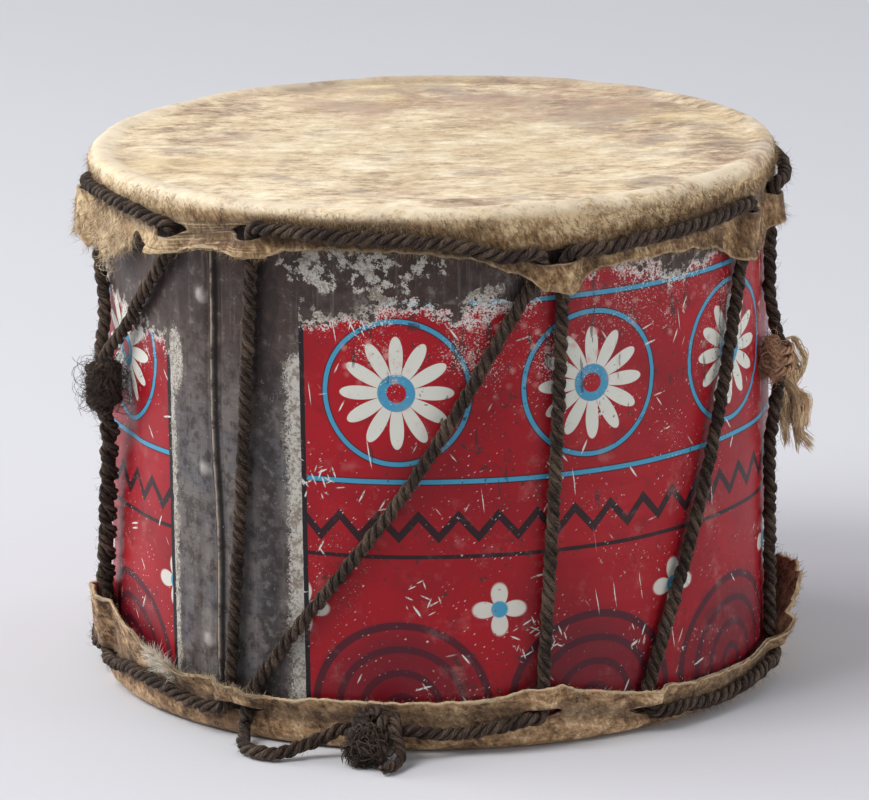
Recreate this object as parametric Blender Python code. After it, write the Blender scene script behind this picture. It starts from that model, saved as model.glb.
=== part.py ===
"""Double-headed drum made from a food tin, with rawhide heads laced by one twisted cord.

Metres, +Z up. The origin is the middle of the lower head's flat underside.
Angles go round the drum in degrees: 0 is the front (-Y), and they grow towards +X.
"""

import math

import bmesh
import bpy
import numpy as np
from mathutils import Matrix, Vector

# The tin, with both lids cut out and their rolled seams left on
CAN_RADIUS = 0.0768
CAN_WALL = 0.0004
CAN_HEIGHT = 0.1210
SEAM_DEPTH = 0.0031
SEAM_METAL = 0.0003
LOCK_SEAM_ANGLE = -40.4
LOCK_SEAM_WIDTH = 0.0026
LOCK_SEAM_RISE = 0.0005
LOCK_SEAM_FADE = 0.014

# The rawhide heads
SKIN = 0.0010
SHOULDER = 0.0022
CREST_WIDTH = 0.0030
TOP_SAG = 0.0016
MOUTH_WIDTH = 0.0092
MOUTH_HEIGHT = 0.0044

# Angle beyond which a cord under the skirt no longer lifts it
DRAPE_REACH = 16

# The cords
CORD = 0.0032
PAIR_SPACING = 0.0050
TWIST_SPACING = 0.0039
TIE_CORD = 0.0020
KNOT_CORD = 0.0026
JUTE_CORD = 0.0018

# Clearances
GAP = 0.0003
DRAPE_ROOM = 0.0004
WIND_GAP = 0.0005

# Mesh fineness
CAN_COLUMNS = 54
SEAM_COLUMNS = 42
SKIN_STEP = 6.6
MOUTH_STEP = 0.0018
THIN_BY = 0.00022

TOP, BOTTOM = 1, -1
DRUM_HEIGHT = CAN_HEIGHT + 2 * (SKIN + GAP)
CAN_BOTTOM = SKIN + GAP
CAN_TOP = CAN_BOTTOM + CAN_HEIGHT
SEAM_OUTER = CAN_RADIUS + GAP + SEAM_METAL
SEAM_INNER = CAN_RADIUS - CAN_WALL - GAP - SEAM_METAL
SKIN_INNER = SEAM_OUTER + GAP
SKIN_OUTER = SKIN_INNER + SKIN
ON_CAN = CAN_RADIUS + GAP + CORD / 2
DRAPE = ON_CAN + CORD / 2 + GAP + DRAPE_ROOM - SKIN_INNER
DEGREE = math.radians(1) * CAN_RADIUS

# Hem of each skirt: angle, and the skirt's length from the end face in millimetres
HEMS = {
    TOP: (
        (-88, 16), (-77, 18), (-66, 18.6), (-60.5, 17), (-57, 11.6), (-53, 13.4), (-48, 13.6),
        (-38, 10.6), (-30, 11.6), (-22, 9.4), (-4, 9.4), (5, 11), (13, 15), (18, 19.2),
        (22, 19.2), (28, 15.4), (45, 14.8), (52, 16.2), (60, 20.8), (69, 21.6), (74, 17),
        (84, 15), (100, 17), (116, 13.6), (135, 16), (152, 14.6), (172, 17.5), (190, 13.8),
        (206, 16), (222, 15), (240, 18), (256, 14.6),
    ),
    BOTTOM: (
        (-92, 19), (-78, 23), (-64.5, 17.5), (-55, 14.3), (-47, 12), (-40, 12.8), (-35, 12.4),
        (-28, 10.4), (-19, 11.7), (-4, 11.6), (6, 12), (17.5, 14.8), (24, 12.2), (31, 10.4),
        (38, 10), (46, 8.4), (62, 8), (71, 9.4), (80, 14.5), (88, 20), (96, 20.5), (106, 15),
        (118, 12.5), (136, 13.5), (152, 12), (170, 13.5), (190, 11.5), (212, 12.8), (235, 14),
        (250, 12.5),
    ),
}
# How far each hem stands off the tin, in millimetres
STAND_OFF = {
    TOP: ((-90, 1.0), (-68, 1.3), (-57, 0.3), (-48, 1.3), (-38, 1.5), (-26, 0.6), (0, 0.2),
          (45, 0.2), (66, 0.6), (90, 0.2), (180, 0.5)),
    BOTTOM: ((-80, 0.5), (0, 0.5), (45, 0.4), (70, 0.9), (82, 2.4), (92, 2.8), (104, 1.0),
             (130, 0.4), (200, 0.5)),
}

# Mouths cut in each skirt for the cord: angle, and depth from the end face in millimetres
MOUTHS = {
    TOP: ((-83, 6.8), (-47.2, 8.4), (-31, 6.3), (19.1, 11.6), (63.5, 9.3), (76.5, 8.8),
          (128, 8.2), (151, 8.0), (195, 8.6), (217, 8.2), (257, 8.0)),
    BOTTOM: ((-78, 8.2), (-35.5, 7.4), (16.4, 8.2), (35.5, 5.2), (75, 6.0), (101, 6.6),
             (146, 6.4), (169, 6.8), (212, 6.4), (235, 6.8)),
}
# The cord's way round: which end, the mouth's angle, and its side of a mouth that holds two
STATIONS = (
    (BOTTOM, 16.4, 0), (TOP, 19.1, 1), (TOP, 63.5, 0), (BOTTOM, 35.5, 0),
    (BOTTOM, 75, 0), (TOP, 76.5, 0), (TOP, 128, 0), (BOTTOM, 101, 0),
    (BOTTOM, 146, 0), (TOP, 151, 0), (TOP, 195, 0), (BOTTOM, 169, 0),
    (BOTTOM, 212, 0), (TOP, 217, 0), (TOP, 257, 0), (BOTTOM, 235, 0),
    (BOTTOM, 282, -1), (TOP, 277, 0), (TOP, 312.8, 0), (BOTTOM, 282, 1),
    (BOTTOM, 324.5, -1), (TOP, 329, 0), (TOP, 379.1, -1), (BOTTOM, 324.5, 1),
)
# Heights in millimetres that the outside runs pass through, by the station that they leave
RUN_HEIGHTS = {
    1: ((30, 113.6), (45, 114.2)),
    3: ((45, 3.4), (56, 3.6)),
    17: ((286, 118.4), (297, 118.0), (306, 117.2)),
    19: ((298, 8.9), (308, 8.0)),
    21: ((342, 118.0), (355, 117.2), (369, 115.0)),
}

# How far below the mouth's middle the cord has reached the tin
DIVE_DEPTH = 0.0027

# The tie that draws two stretches of the cord together at the left
TIE_ANGLE = 289.7
TIE_HEIGHT = 0.0730
TIE_TURNS = 4
TWIST_LOW = 0.0340
TWIST_HIGH = 0.0640
TWIST_TURNS = 2
TWIST_LEAN = -6.0
# The stations whose legs are tied, and the side that each takes in the pair
TIED = {16: -1, 17: -1, 18: 1, 19: 1}

# The knot that joins the cord's two ends, low at the front
KNOT_ANGLE = -10.0
KNOT_HEIGHT = 0.0066
KNOT_TURNS = 3
KNOT_RUN = 0.007

# The jute tie and its tassel on the cord at the right, on the leg from this station
JUTE_LEG = 4
JUTE_HEIGHT = 0.0745
JUTE_TURNS = 3
TASSEL_LENGTH = 0.0245
TASSEL_RADIUS = 0.0042
TASSEL_ROOT = 0.0016


def clear_scene():
    for item in list(bpy.data.objects):
        bpy.data.objects.remove(item, do_unlink=True)


def material(name, colour, roughness, metallic=0.0):
    made = bpy.data.materials.new(name)
    made.use_nodes = True
    shader = made.node_tree.nodes["Principled BSDF"]
    shader.inputs["Base Color"].default_value = (*colour, 1.0)
    shader.inputs["Roughness"].default_value = roughness
    shader.inputs["Metallic"].default_value = metallic
    return made


def at(angle, height, radius):
    """A place from its angle round the drum, its height and its distance from the axis."""
    turn = math.radians(angle)
    return Vector((radius * math.sin(turn), -radius * math.cos(turn), height))


def ease(share):
    share = min(max(share, 0.0), 1.0)
    return share * share * (3 - 2 * share)


def around(points, angle):
    """Reads a closed list of (angle, value) at any angle, easing from each to the next."""
    first = points[0][0]
    angle = first + (angle - first) % 360
    closed = list(points) + [(first + 360, points[0][1])]
    for (a, value_a), (b, value_b) in zip(closed, closed[1:]):
        if angle <= b:
            return value_a + (value_b - value_a) * ease((angle - a) / (b - a))
    return points[0][1]


def apart(a, b):
    """The signed angle from b to a, within half a turn."""
    return (a - b + 180) % 360 - 180


# Where the skirts lie


def height_of(end, depth):
    return DRUM_HEIGHT - depth if end == TOP else depth


def mouth_depth(end, angle):
    return min(MOUTHS[end], key=lambda mouth: abs(apart(mouth[0], angle)))[1] / 1000


def hem_depth(end, angle):
    return around(HEMS[end], angle) / 1000


def station_angle(station):
    end, angle, side = station
    return angle + side * PAIR_SPACING / 2 / DEGREE


def heading(index):
    """The place on the tin, as (angle, height), that the leg from a station makes for."""
    partner = index + 1 if index % 2 == 0 else index - 1
    end = STATIONS[index][0]
    if index in TIED:
        side = TIED[index]
        if end == TOP:
            return TIE_ANGLE + side * tie_offset(), TIE_HEIGHT + tie_reach()
        return TIE_ANGLE + TWIST_LEAN + side * TWIST_SPACING / 2 / DEGREE, TWIST_LOW
    other = STATIONS[partner]
    depth = mouth_depth(*other[:2]) + DIVE_DEPTH
    return station_angle(other), height_of(other[0], depth)


def leg_lean(index):
    """Degrees that the leg from a station leans, for each metre away from its mouth."""
    station = STATIONS[index]
    angle, height = heading(index)
    start = height_of(station[0], mouth_depth(*station[:2]) + DIVE_DEPTH)
    return (angle - station_angle(station)) / abs(height - start)


def leg_angle(index, depth):
    """The angle of a station's leg at a depth, while it is still near its own mouth."""
    station = STATIONS[index]
    past = max(0.0, depth - mouth_depth(*station[:2]) - DIVE_DEPTH)
    return station_angle(station) + leg_lean(index) * past


def mouth_half_width(end, angle):
    """Half the width of the mouth at this angle, wider where two stretches share it."""
    shared = [s for s in STATIONS if s[0] == end and s[2] and abs(apart(s[1], angle)) < 1]
    return MOUTH_WIDTH / 2 + (PAIR_SPACING / 2 if shared else 0)


def lens(end, angle):
    """How far open the skirt is here, from 0 to 1, and the depth of the opening's middle."""
    for place, depth in MOUTHS[end]:
        share = abs(apart(angle, place)) * DEGREE / mouth_half_width(end, place)
        if share < 1:
            return 1 - share ** 3, depth / 1000
    return 0.0, None


def slit_line(end, angle):
    """The depth of the row of the skirt that carries the mouths."""
    limit = hem_depth(end, angle) - MOUTH_HEIGHT / 2
    return min(around(MOUTHS[end], angle) / 1000, limit)


def drape(end, angle, depth):
    """How far the skirt is pushed out by the cord that runs under it."""
    push = 0.0
    for index, station in enumerate(STATIONS):
        aside = abs(apart(angle, station_angle(station)))
        if station[0] != end or aside > DRAPE_REACH:
            continue
        slope = leg_lean(index) * DEGREE
        wide = MOUTH_WIDTH / 2 * math.hypot(1, slope)
        share = abs(apart(angle, leg_angle(index, depth))) * DEGREE / wide
        if share < 1:
            push = max(push, DRAPE * (1 - share ** 3) ** 2)
    return push


def skin_radius(end, angle, depth, pushed=True):
    """The inside radius of a skirt at an angle and a depth."""
    share = max(0.0, (depth - SHOULDER) / (hem_depth(end, angle) - SHOULDER))
    stand = around(STAND_OFF[end], angle) / 1000 * min(share, 1.0) ** 2
    return SKIN_INNER + stand + (drape(end, angle, depth) if pushed else 0)


# The cord's route


def smooth(points, steps=8):
    """A smooth curve through the points, as many short straight pieces."""
    points = [Vector(p) for p in points]
    ends = [2 * points[0] - points[1]] + points + [2 * points[-1] - points[-2]]
    out = []
    for p0, p1, p2, p3 in zip(ends, ends[1:], ends[2:], ends[3:]):
        reach = (p2 - p1).length
        m1 = (p2 - p0) * (reach / max((p1 - p0).length + reach, 1e-9))
        m2 = (p3 - p1) * (reach / max((p3 - p2).length + reach, 1e-9))
        for i in range(steps):
            t = i / steps
            a = (1 + 2 * t) * (1 - t) ** 2
            b = t * (1 - t) ** 2
            c = t * t * (3 - 2 * t)
            d = t * t * (t - 1)
            out.append(a * p1 + b * m1 + c * p2 + d * m2)
    return out + [points[-1]]


def thinned(points, within=THIN_BY):
    """The same line without the points that it can do without."""
    line = np.array(points)
    keep, todo = {0, len(line) - 1}, [(0, len(line) - 1)]
    while todo:
        a, b = todo.pop()
        if b - a < 2:
            continue
        along, rest = line[b] - line[a], line[a + 1:b] - line[a]
        share = np.clip(rest @ along / max(along @ along, 1e-15), 0, 1)
        away = np.linalg.norm(rest - share[:, None] * along, axis=1)
        far = a + 1 + int(away.argmax())
        if away.max() > within:
            keep.add(far)
            todo += [(a, far), (far, b)]
    return [Vector(line[i]) for i in sorted(keep)]


def outside(end, angle, depth):
    """The cord's place outside a skirt, resting on the skin at an angle and a depth."""
    near = max(skin_radius(end, angle, depth + step) for step in (-CORD / 4, 0, CORD / 4))
    return at(angle, height_of(end, depth), near + SKIN + GAP + CORD / 2 + 0.0001)


def dive(index, side):
    """The cord through a mouth, from outside the skirt to the tin; it runs off to one side."""
    station = STATIONS[index]
    end, angle, depth = station[0], station_angle(station), mouth_depth(*station[:2])
    run_out = side * (MOUTH_WIDTH / 2 - 0.0004) / DEGREE
    radius_out = SKIN_OUTER + GAP + CORD / 2 + 0.0002
    return [
        at(angle + run_out, height_of(end, depth - 0.0011), radius_out),
        at(angle + run_out * 0.2, height_of(end, depth - 0.0007), ON_CAN + 0.0014),
        at(angle, height_of(end, depth + DIVE_DEPTH), ON_CAN + 0.0001),
        on_leg(index, depth + 0.0062),
    ]


def on_leg(index, depth):
    return at(leg_angle(index, depth), height_of(STATIONS[index][0], depth), ON_CAN)


def run_side(index):
    """Which way the outside run goes from a station: even stations meet it on the left."""
    return 1 if index % 2 else -1


def run(index):
    """The outside run that leaves a station for the next one."""
    here, there = STATIONS[index], STATIONS[index + 1]
    end = here[0]
    start = station_angle(here) + MOUTH_WIDTH / DEGREE
    stop = station_angle(there) - MOUTH_WIDTH / DEGREE
    depth_here, depth_there = mouth_depth(*here[:2]), mouth_depth(*there[:2])
    known = [(start, depth_here - 0.0010)]
    for angle, height in RUN_HEIGHTS.get(index, ()):
        known.append((angle, DRUM_HEIGHT - height / 1000 if end == TOP else height / 1000))
    known.append((stop, depth_there - 0.0010))
    count = max(3, round((stop - start) * DEGREE / 0.009))
    points = []
    for i in range(count + 1):
        angle = start + (stop - start) * i / count
        depth = np.interp(angle, [k[0] for k in known], [k[1] for k in known])
        points.append(outside(end, angle, float(depth)))
    return points


def straight_leg(index):
    """A leg on the tin from a station to the next, bowed a little where it runs slanting."""
    start, (stop, stop_height) = STATIONS[index], heading(index)
    end, angle = start[0], station_angle(start)
    low = height_of(end, mouth_depth(*start[:2]) + DIVE_DEPTH)
    count = max(5, round(math.hypot((stop - angle) * DEGREE, stop_height - low) / 0.012))
    points = []
    for i in range(1, count):
        share = i / count
        bow = math.sin(math.pi * share) ** 2 * abs(stop - angle) * 0.05
        height = low + (stop_height - low) * share
        points.append(at(angle + (stop - angle) * share + bow, height, ON_CAN))
    return points


def twisted_pair(side):
    """The two stretches of cord wound about each other under the tie, from low to high."""
    points = []
    count = 10 * TWIST_TURNS
    for i in range(count + 1):
        share = i / count
        turn = 2 * math.pi * TWIST_TURNS * share
        middle = TIE_ANGLE + TWIST_LEAN * (1 - share) ** 1.3
        aside = side * TWIST_SPACING / 2 * math.cos(turn)
        out = side * TWIST_SPACING / 2 * math.sin(turn)
        radius = ON_CAN + TWIST_SPACING / 2 + out
        height = TWIST_LOW + (TWIST_HIGH - TWIST_LOW) * share
        points.append(at(middle + aside / DEGREE, height, radius))
    return points


def tie_radius():
    return ON_CAN + TIE_CORD + GAP


def tie_offset():
    """The angle between the tie's middle and either stretch of cord in it."""
    return TWIST_SPACING / 2 / DEGREE * CAN_RADIUS / tie_radius()


def tie_reach():
    """From the tie's middle to where the cord is clear of its turns."""
    return TIE_TURNS * (TIE_CORD + WIND_GAP) / 2 + TIE_CORD


def tied_leg(side):
    """A leg of the tied pair between its two mouths, from low to high."""
    low, high = (16, 17) if side < 0 else (19, 18)
    points = [on_leg(low, TWIST_LOW - 0.0090)]
    points += twisted_pair(side)
    for height in (TIE_HEIGHT - tie_reach(), TIE_HEIGHT, TIE_HEIGHT + tie_reach()):
        points.append(at(TIE_ANGLE + side * tie_offset(), height, tie_radius()))
    to_tie = DRUM_HEIGHT - TIE_HEIGHT - tie_reach()
    for share in (0.75, 0.5):
        points.append(on_leg(high, mouth_depth(*STATIONS[high][:2]) * (1 - share)
                             + to_tie * share))
    return points


def jute_angle():
    """Where the tied cord at the right passes the jute tie."""
    foot, head = STATIONS[JUTE_LEG], STATIONS[JUTE_LEG + 1]
    share = (JUTE_HEIGHT - mouth_depth(*foot[:2])) / DRUM_HEIGHT
    return station_angle(foot) + (station_angle(head) - station_angle(foot)) * share


def jute_leg():
    """The leg at the right, which the jute tie holds off the tin."""
    reach = JUTE_TURNS * (JUTE_CORD + WIND_GAP) / 2 + JUTE_CORD / 2
    points = [p for p in straight_leg(JUTE_LEG) if abs(p.z - JUTE_HEIGHT) > reach + 0.008]
    for height in (JUTE_HEIGHT - reach, JUTE_HEIGHT, JUTE_HEIGHT + reach):
        points.append(at(jute_angle(), height, jute_radius()))
    return sorted(points, key=lambda p: p.z)


def jute_radius():
    return ON_CAN + JUTE_CORD + GAP


def knot_radius():
    return SKIN_OUTER + 0.0006 + GAP + KNOT_CORD + GAP + CORD / 2


def lacing_route():
    """The whole held cord: from the knot, right round the drum, to the last mouth."""
    points = [
        at(KNOT_ANGLE + step / DEGREE, KNOT_HEIGHT, knot_radius())
        for step in (GAP, KNOT_RUN * 0.6, KNOT_RUN)
    ]
    points += [outside(BOTTOM, 1.0, 0.0048), outside(BOTTOM, 7.0, 0.0056)]
    last = len(STATIONS) - 1
    for index in range(last):
        through = dive(index, run_side(index))
        if index % 2 == 0:
            points += through + leg_between(index)
        else:
            points += through[::-1] + run(index)
    return points + loose_exit()


def leg_between(index):
    if index in TIED:
        return tied_leg(TIED[index])[::TIED[index] * -1]
    if index == JUTE_LEG:
        return jute_leg()
    return straight_leg(index)


def loose_exit():
    """The last mouth, where the cord comes out and hangs: from inside to outside."""
    index = len(STATIONS) - 1
    station = STATIONS[index]
    angle, depth = station_angle(station), mouth_depth(*station[:2])
    return [
        on_leg(index, depth + 0.0062),
        at(angle, depth + DIVE_DEPTH, ON_CAN + 0.0001),
        at(angle + 0.2, depth - 0.0004, ON_CAN + 0.0013),
        at(angle + 0.5, depth - 0.0028, SKIN_OUTER + GAP + CORD / 2 + 0.0006),
    ]


def slack_route():
    """The free loop: down from the last mouth, over the floor and up to the knot."""
    start = loose_exit()[-1]
    before = loose_exit()[-2]
    onward = (start - before).normalized()
    floor = CORD / 2 + 0.0001
    return [
        start + onward * GAP * 1.3,
        start + onward * 0.0012,
        at(-31.8, floor + 0.0003, 0.0850),
        at(-30.6, floor, 0.0879),
        at(-28.9, floor, 0.0902),
        at(-26.7, floor, 0.0917),
        at(-24.5, floor, 0.0911),
        at(-22.6, floor + 0.0004, 0.0889),
        at(-20.5, 0.0031, 0.0866),
        at(-18.0, 0.0048, 0.0850),
        at(KNOT_ANGLE - KNOT_RUN / DEGREE, KNOT_HEIGHT, knot_radius()),
        at(KNOT_ANGLE - KNOT_RUN * 0.6 / DEGREE, KNOT_HEIGHT, knot_radius()),
        at(KNOT_ANGLE - GAP / DEGREE, KNOT_HEIGHT, knot_radius()),
    ]


# Windings


def frame_at(angle, height, radius):
    """A place on the drum with its sideways, outward and upward directions."""
    turn = math.radians(angle)
    aside = Vector((math.cos(turn), math.sin(turn), 0))
    outward = Vector((math.sin(turn), -math.cos(turn), 0))
    return at(angle, height, radius), aside, outward, Vector((0, 0, 1))


def least_self_gap(points, width, turn_length):
    """The least gap between a tube's turns, measured on points along it."""
    line = np.array(smooth(points, 4))
    along = np.concatenate([[0], np.cumsum(np.linalg.norm(np.diff(line, axis=0), axis=1))])
    apart_by = np.linalg.norm(line[:, None] - line[None], axis=2)
    far = np.abs(along[:, None] - along[None]) > turn_length / 2
    return float(apart_by[far].min() - width) if far.any() else math.inf


def tie_route():
    """A cord wound round the pair of stretches, with two short ends."""
    place, aside, outward, up = frame_at(TIE_ANGLE, TIE_HEIGHT, tie_radius())
    flat = TWIST_SPACING / 2
    bend = CORD / 2 + GAP + TIE_CORD / 2
    pitch = TIE_CORD + WIND_GAP
    per_turn = 14
    points = []
    count = TIE_TURNS * per_turn
    for i in range(count + 1):
        turn = 2 * math.pi * i / per_turn
        x = flat * max(-1, min(1, 1.6 * math.cos(turn))) + bend * math.cos(turn)
        y = bend * math.sin(turn) * (1 + 0.05 * abs(math.cos(turn)))
        z = pitch * (i / per_turn - TIE_TURNS / 2)
        points.append(place + aside * x + outward * y + up * z)
    low_end = points[0] - outward * -0.0020 + aside * 0.0010 - up * 0.0004
    high_end = points[-1] + outward * 0.0030 + aside * 0.0006 + up * 0.0008
    return [low_end] + points + [high_end]


def knot_route():
    """The knot's turns round the joined cord ends, and the tail that hangs to the floor."""
    place, aside, outward, up = frame_at(KNOT_ANGLE, KNOT_HEIGHT, knot_radius())
    bend = CORD / 2 + GAP + KNOT_CORD / 2
    pitch = KNOT_CORD + WIND_GAP
    per_turn = 12
    points = []
    count = KNOT_TURNS * per_turn
    for i in range(count + 1):
        turn = 2 * math.pi * i / per_turn
        sideways = pitch * (i / per_turn - KNOT_TURNS / 2)
        y, z = bend * math.cos(turn), bend * math.sin(turn)
        points.append(place + aside * sideways + outward * y - up * z)
    last, floor = points[-1], KNOT_CORD / 2 + 0.0001
    for sideways, out, height in ((0.0004, 0.0012, 0.0036), (0.0003, 0.0032, floor + 0.0004),
                                  (-0.0008, 0.0062, floor), (-0.0022, 0.0090, floor)):
        point = last + aside * (sideways + 0.0010) + outward * out
        points.append(Vector((point.x, point.y, height)))
    return points


def jute_frame():
    return frame_at(jute_angle(), JUTE_HEIGHT, jute_radius())


def jute_bend():
    return CORD / 2 + GAP + JUTE_CORD / 2


def tassel_aside():
    """How far the tassel's root hangs beside the cord that it is tied to."""
    return jute_bend() + JUTE_CORD / 2 + GAP * 2 + TASSEL_ROOT


def jute_route():
    """The jute wound round the cord, with its end led over to the tassel's root."""
    place, aside, outward, up = jute_frame()
    bend, pitch, per_turn = jute_bend(), JUTE_CORD + WIND_GAP, 12
    points = []
    count = JUTE_TURNS * per_turn
    for i in range(count + 1):
        turn = 2 * math.pi * i / per_turn
        z = pitch * (i / per_turn - JUTE_TURNS / 2)
        points.append(place + aside * bend * math.cos(turn) - outward * bend * math.sin(turn)
                      + up * z)
    root, _, _, _ = tassel_frame()
    over = root + up * (2 * GAP + JUTE_CORD / 2 + TASSEL_ROOT / 2)
    return points[:-2] + [points[-1] + aside * 0.0004 + up * 0.0003, over]


def tassel_frame():
    """The tassel's root, on the axis that it swings about."""
    place, aside, outward, up = jute_frame()
    top = JUTE_TURNS * (JUTE_CORD + WIND_GAP) / 2 - GAP - JUTE_CORD
    inward = jute_radius() - (CAN_RADIUS + GAP * 2 + TASSEL_ROOT)
    return place + aside * tassel_aside() - outward * inward + up * top, aside, outward, up


# Making the pieces


def finish(name, mesh, surface, sharp=35):
    item = bpy.data.objects.new(name, mesh)
    bpy.context.collection.objects.link(item)
    mesh.materials.append(surface)
    mesh.shade_smooth()
    mesh.set_sharp_from_angle(angle=math.radians(sharp))
    return item


def mesh_from(build, name):
    mesh = bpy.data.meshes.new(name)
    shape = bmesh.new()
    build(shape)
    bmesh.ops.recalc_face_normals(shape, faces=shape.faces)
    shape.to_mesh(mesh)
    shape.free()
    return mesh


def turned(name, profile, columns, surface, bulge=None):
    """A closed ring turned from a profile of (radius, height), with an optional bulge."""

    def build(shape):
        angles = sorted(columns)
        rings = []
        for angle in angles:
            ring = []
            for radius, height in profile:
                extra = bulge(angle, height) if bulge else 0.0
                ring.append(shape.verts.new(at(angle, height, radius + extra)))
            rings.append(ring)
        for a, b in zip(rings, rings[1:] + rings[:1]):
            for i in range(len(profile)):
                j = (i + 1) % len(profile)
                shape.faces.new((a[i], a[j], b[j], b[i]))

    return finish(name, mesh_from(build, name), surface)


def tube(name, route, width, surface, sides=2):
    """A cord as a curve with a round bevel and closed ends."""
    curve = bpy.data.curves.new(name, "CURVE")
    curve.dimensions = "3D"
    curve.bevel_depth = width / 2
    curve.bevel_resolution = sides
    curve.use_fill_caps = True
    spline = curve.splines.new("POLY")
    spline.points.add(len(route) - 1)
    for target, point in zip(spline.points, route):
        target.co = (*point, 1.0)
    curve.materials.append(surface)
    item = bpy.data.objects.new(name, curve)
    bpy.context.collection.objects.link(item)
    return item


def can_shell(surface):
    """The rolled tin wall, with its lock seam standing out as a low ridge."""
    low = CAN_BOTTOM + SEAM_METAL + GAP
    high = CAN_TOP - SEAM_METAL - GAP
    inner = CAN_RADIUS - CAN_WALL
    half = LOCK_SEAM_WIDTH / 2 / DEGREE
    columns = [i * 360 / CAN_COLUMNS for i in range(CAN_COLUMNS)]
    columns = [a for a in columns if abs(apart(a, LOCK_SEAM_ANGLE)) > 2.2 * half]
    columns += [LOCK_SEAM_ANGLE % 360 + half * share for share in (-2, -1, -0.4, 0.4, 1, 2)]
    heights = [low, low + 0.4 * LOCK_SEAM_FADE, low + LOCK_SEAM_FADE]
    heights += [high - LOCK_SEAM_FADE, high - 0.4 * LOCK_SEAM_FADE, high]

    def ridge(angle, height):
        share = abs(apart(angle, LOCK_SEAM_ANGLE)) / half
        if share >= 0.99:
            return 0.0
        ends = min(height - low, high - height) / LOCK_SEAM_FADE
        return LOCK_SEAM_RISE * ease((ends - 0.35) / 0.65)

    profile = [(CAN_RADIUS, z) for z in heights] + [(inner, z) for z in heights[::-1]]
    return turned("can_shell", profile, columns, surface, ridge)


def end_ring(name, end, surface):
    """A rolled seam: a channel that hooks over the rim of the wall."""
    face = CAN_TOP if end == TOP else CAN_BOTTOM
    inward = -1 if end == TOP else 1
    round_off = 0.0007
    outer, inner, depth = SEAM_OUTER, SEAM_INNER, SEAM_DEPTH
    outline = [
        (outer, depth), (outer, round_off), (outer - round_off, 0), (inner + round_off, 0),
        (inner, round_off), (inner, depth), (inner + SEAM_METAL, depth),
        (inner + SEAM_METAL, SEAM_METAL), (outer - SEAM_METAL, SEAM_METAL),
        (outer - SEAM_METAL, depth),
    ]
    profile = [(radius, face + inward * down) for radius, down in outline]
    columns = [i * 360 / SEAM_COLUMNS for i in range(SEAM_COLUMNS)]
    return turned(name, profile, columns, surface)


def skin_columns(end):
    """The angles of a head's columns: even, but close where a mouth or a leg is."""
    fine = MOUTH_STEP / DEGREE
    zones, columns = [], []
    for place, _ in MOUTHS[end]:
        reach = mouth_half_width(end, place) / DEGREE
        low, high = place - reach, place + reach
        for index, station in enumerate(STATIONS):
            if station[0] == end and abs(apart(station[1], place)) < 1:
                wide = MOUTH_WIDTH / 2 / DEGREE * math.hypot(1, leg_lean(index) * DEGREE)
                foot = place + apart(leg_angle(index, hem_depth(end, place)), place)
                low, high = min(low, foot - wide), max(high, foot + wide)
        inside = max(3, round(reach / fine))
        columns += [place + reach * i / inside for i in range(-inside, inside + 1)]
        for edge, limit in ((place - reach, low), (place + reach, high)):
            count = round(abs(limit - edge) / fine)
            columns += [edge + (limit - edge) * i / count for i in range(1, count + 1)]
        zones.append((low, high))
    for (_, start), (stop, _) in zip(zones, zones[1:] + zones[:1]):
        room = (stop - start + 180) % 360 - 180 if stop < start else stop - start
        count = math.ceil(room / SKIN_STEP)
        columns += [start + room * i / count for i in range(1, count)]
    return sorted({round(angle % 360, 4) for angle in columns})


def head_column(end, angle, sag):
    """One column of a head, from near its middle to its hem, as (radius, depth) points."""
    crest, bend = SKIN_OUTER - SHOULDER, SHOULDER - SKIN
    turn = math.sin(math.pi / 4)
    flat = [
        (crest * 0.55, SKIN + sag * 0.8),
        (crest - CREST_WIDTH, SKIN + sag * 0.12),
        (crest, SKIN),
        (crest + bend * turn, SKIN + bend * (1 - turn)),
        (SKIN_INNER, SHOULDER),
    ]
    open_share, _ = lens(end, angle)
    line, hem = slit_line(end, angle), hem_depth(end, angle)
    near = line - MOUTH_HEIGHT / 2 * open_share
    far = line + MOUTH_HEIGHT / 2 * open_share
    flat.append((skin_radius(end, angle, near, pushed=False), near))
    skirt = [(skin_radius(end, angle, depth), depth) for depth in (far, (far + hem) / 2, hem)]
    return flat, skirt, open_share


def head(name, end, sag, surface):
    """A rawhide head: flat over the drum's end, turned down into a skirt with mouths."""

    def build(shape):
        def vert(angle, point):
            return shape.verts.new(at(angle, height_of(end, point[1]), point[0]))

        middle = shape.verts.new((0, 0, height_of(end, SKIN + sag)))
        columns = []
        for angle in skin_columns(end):
            flat, skirt, open_share = head_column(end, angle, sag)
            upper = [vert(angle, point) for point in flat]
            joined = open_share < 0.01
            lower = [upper[-1] if joined else vert(angle, skirt[0])]
            lower += [vert(angle, point) for point in skirt[1:]]
            columns.append((upper, lower))
        for (up_a, low_a), (up_b, low_b) in zip(columns, columns[1:] + columns[:1]):
            shape.faces.new((middle, up_a[0], up_b[0]))
            for rows_a, rows_b in ((up_a, up_b), (low_a, low_b)):
                for i in range(len(rows_a) - 1):
                    shape.faces.new((rows_a[i], rows_a[i + 1], rows_b[i + 1], rows_b[i]))

    mesh = bpy.data.meshes.new(name)
    shape = bmesh.new()
    build(shape)
    outward = shape.faces[:]
    if end == BOTTOM:
        bmesh.ops.reverse_faces(shape, faces=outward)
    shape.to_mesh(mesh)
    shape.free()
    item = finish(name, mesh, surface, sharp=60)
    thick = item.modifiers.new("hide", "SOLIDIFY")
    thick.thickness = SKIN
    thick.offset = 1
    return item


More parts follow.
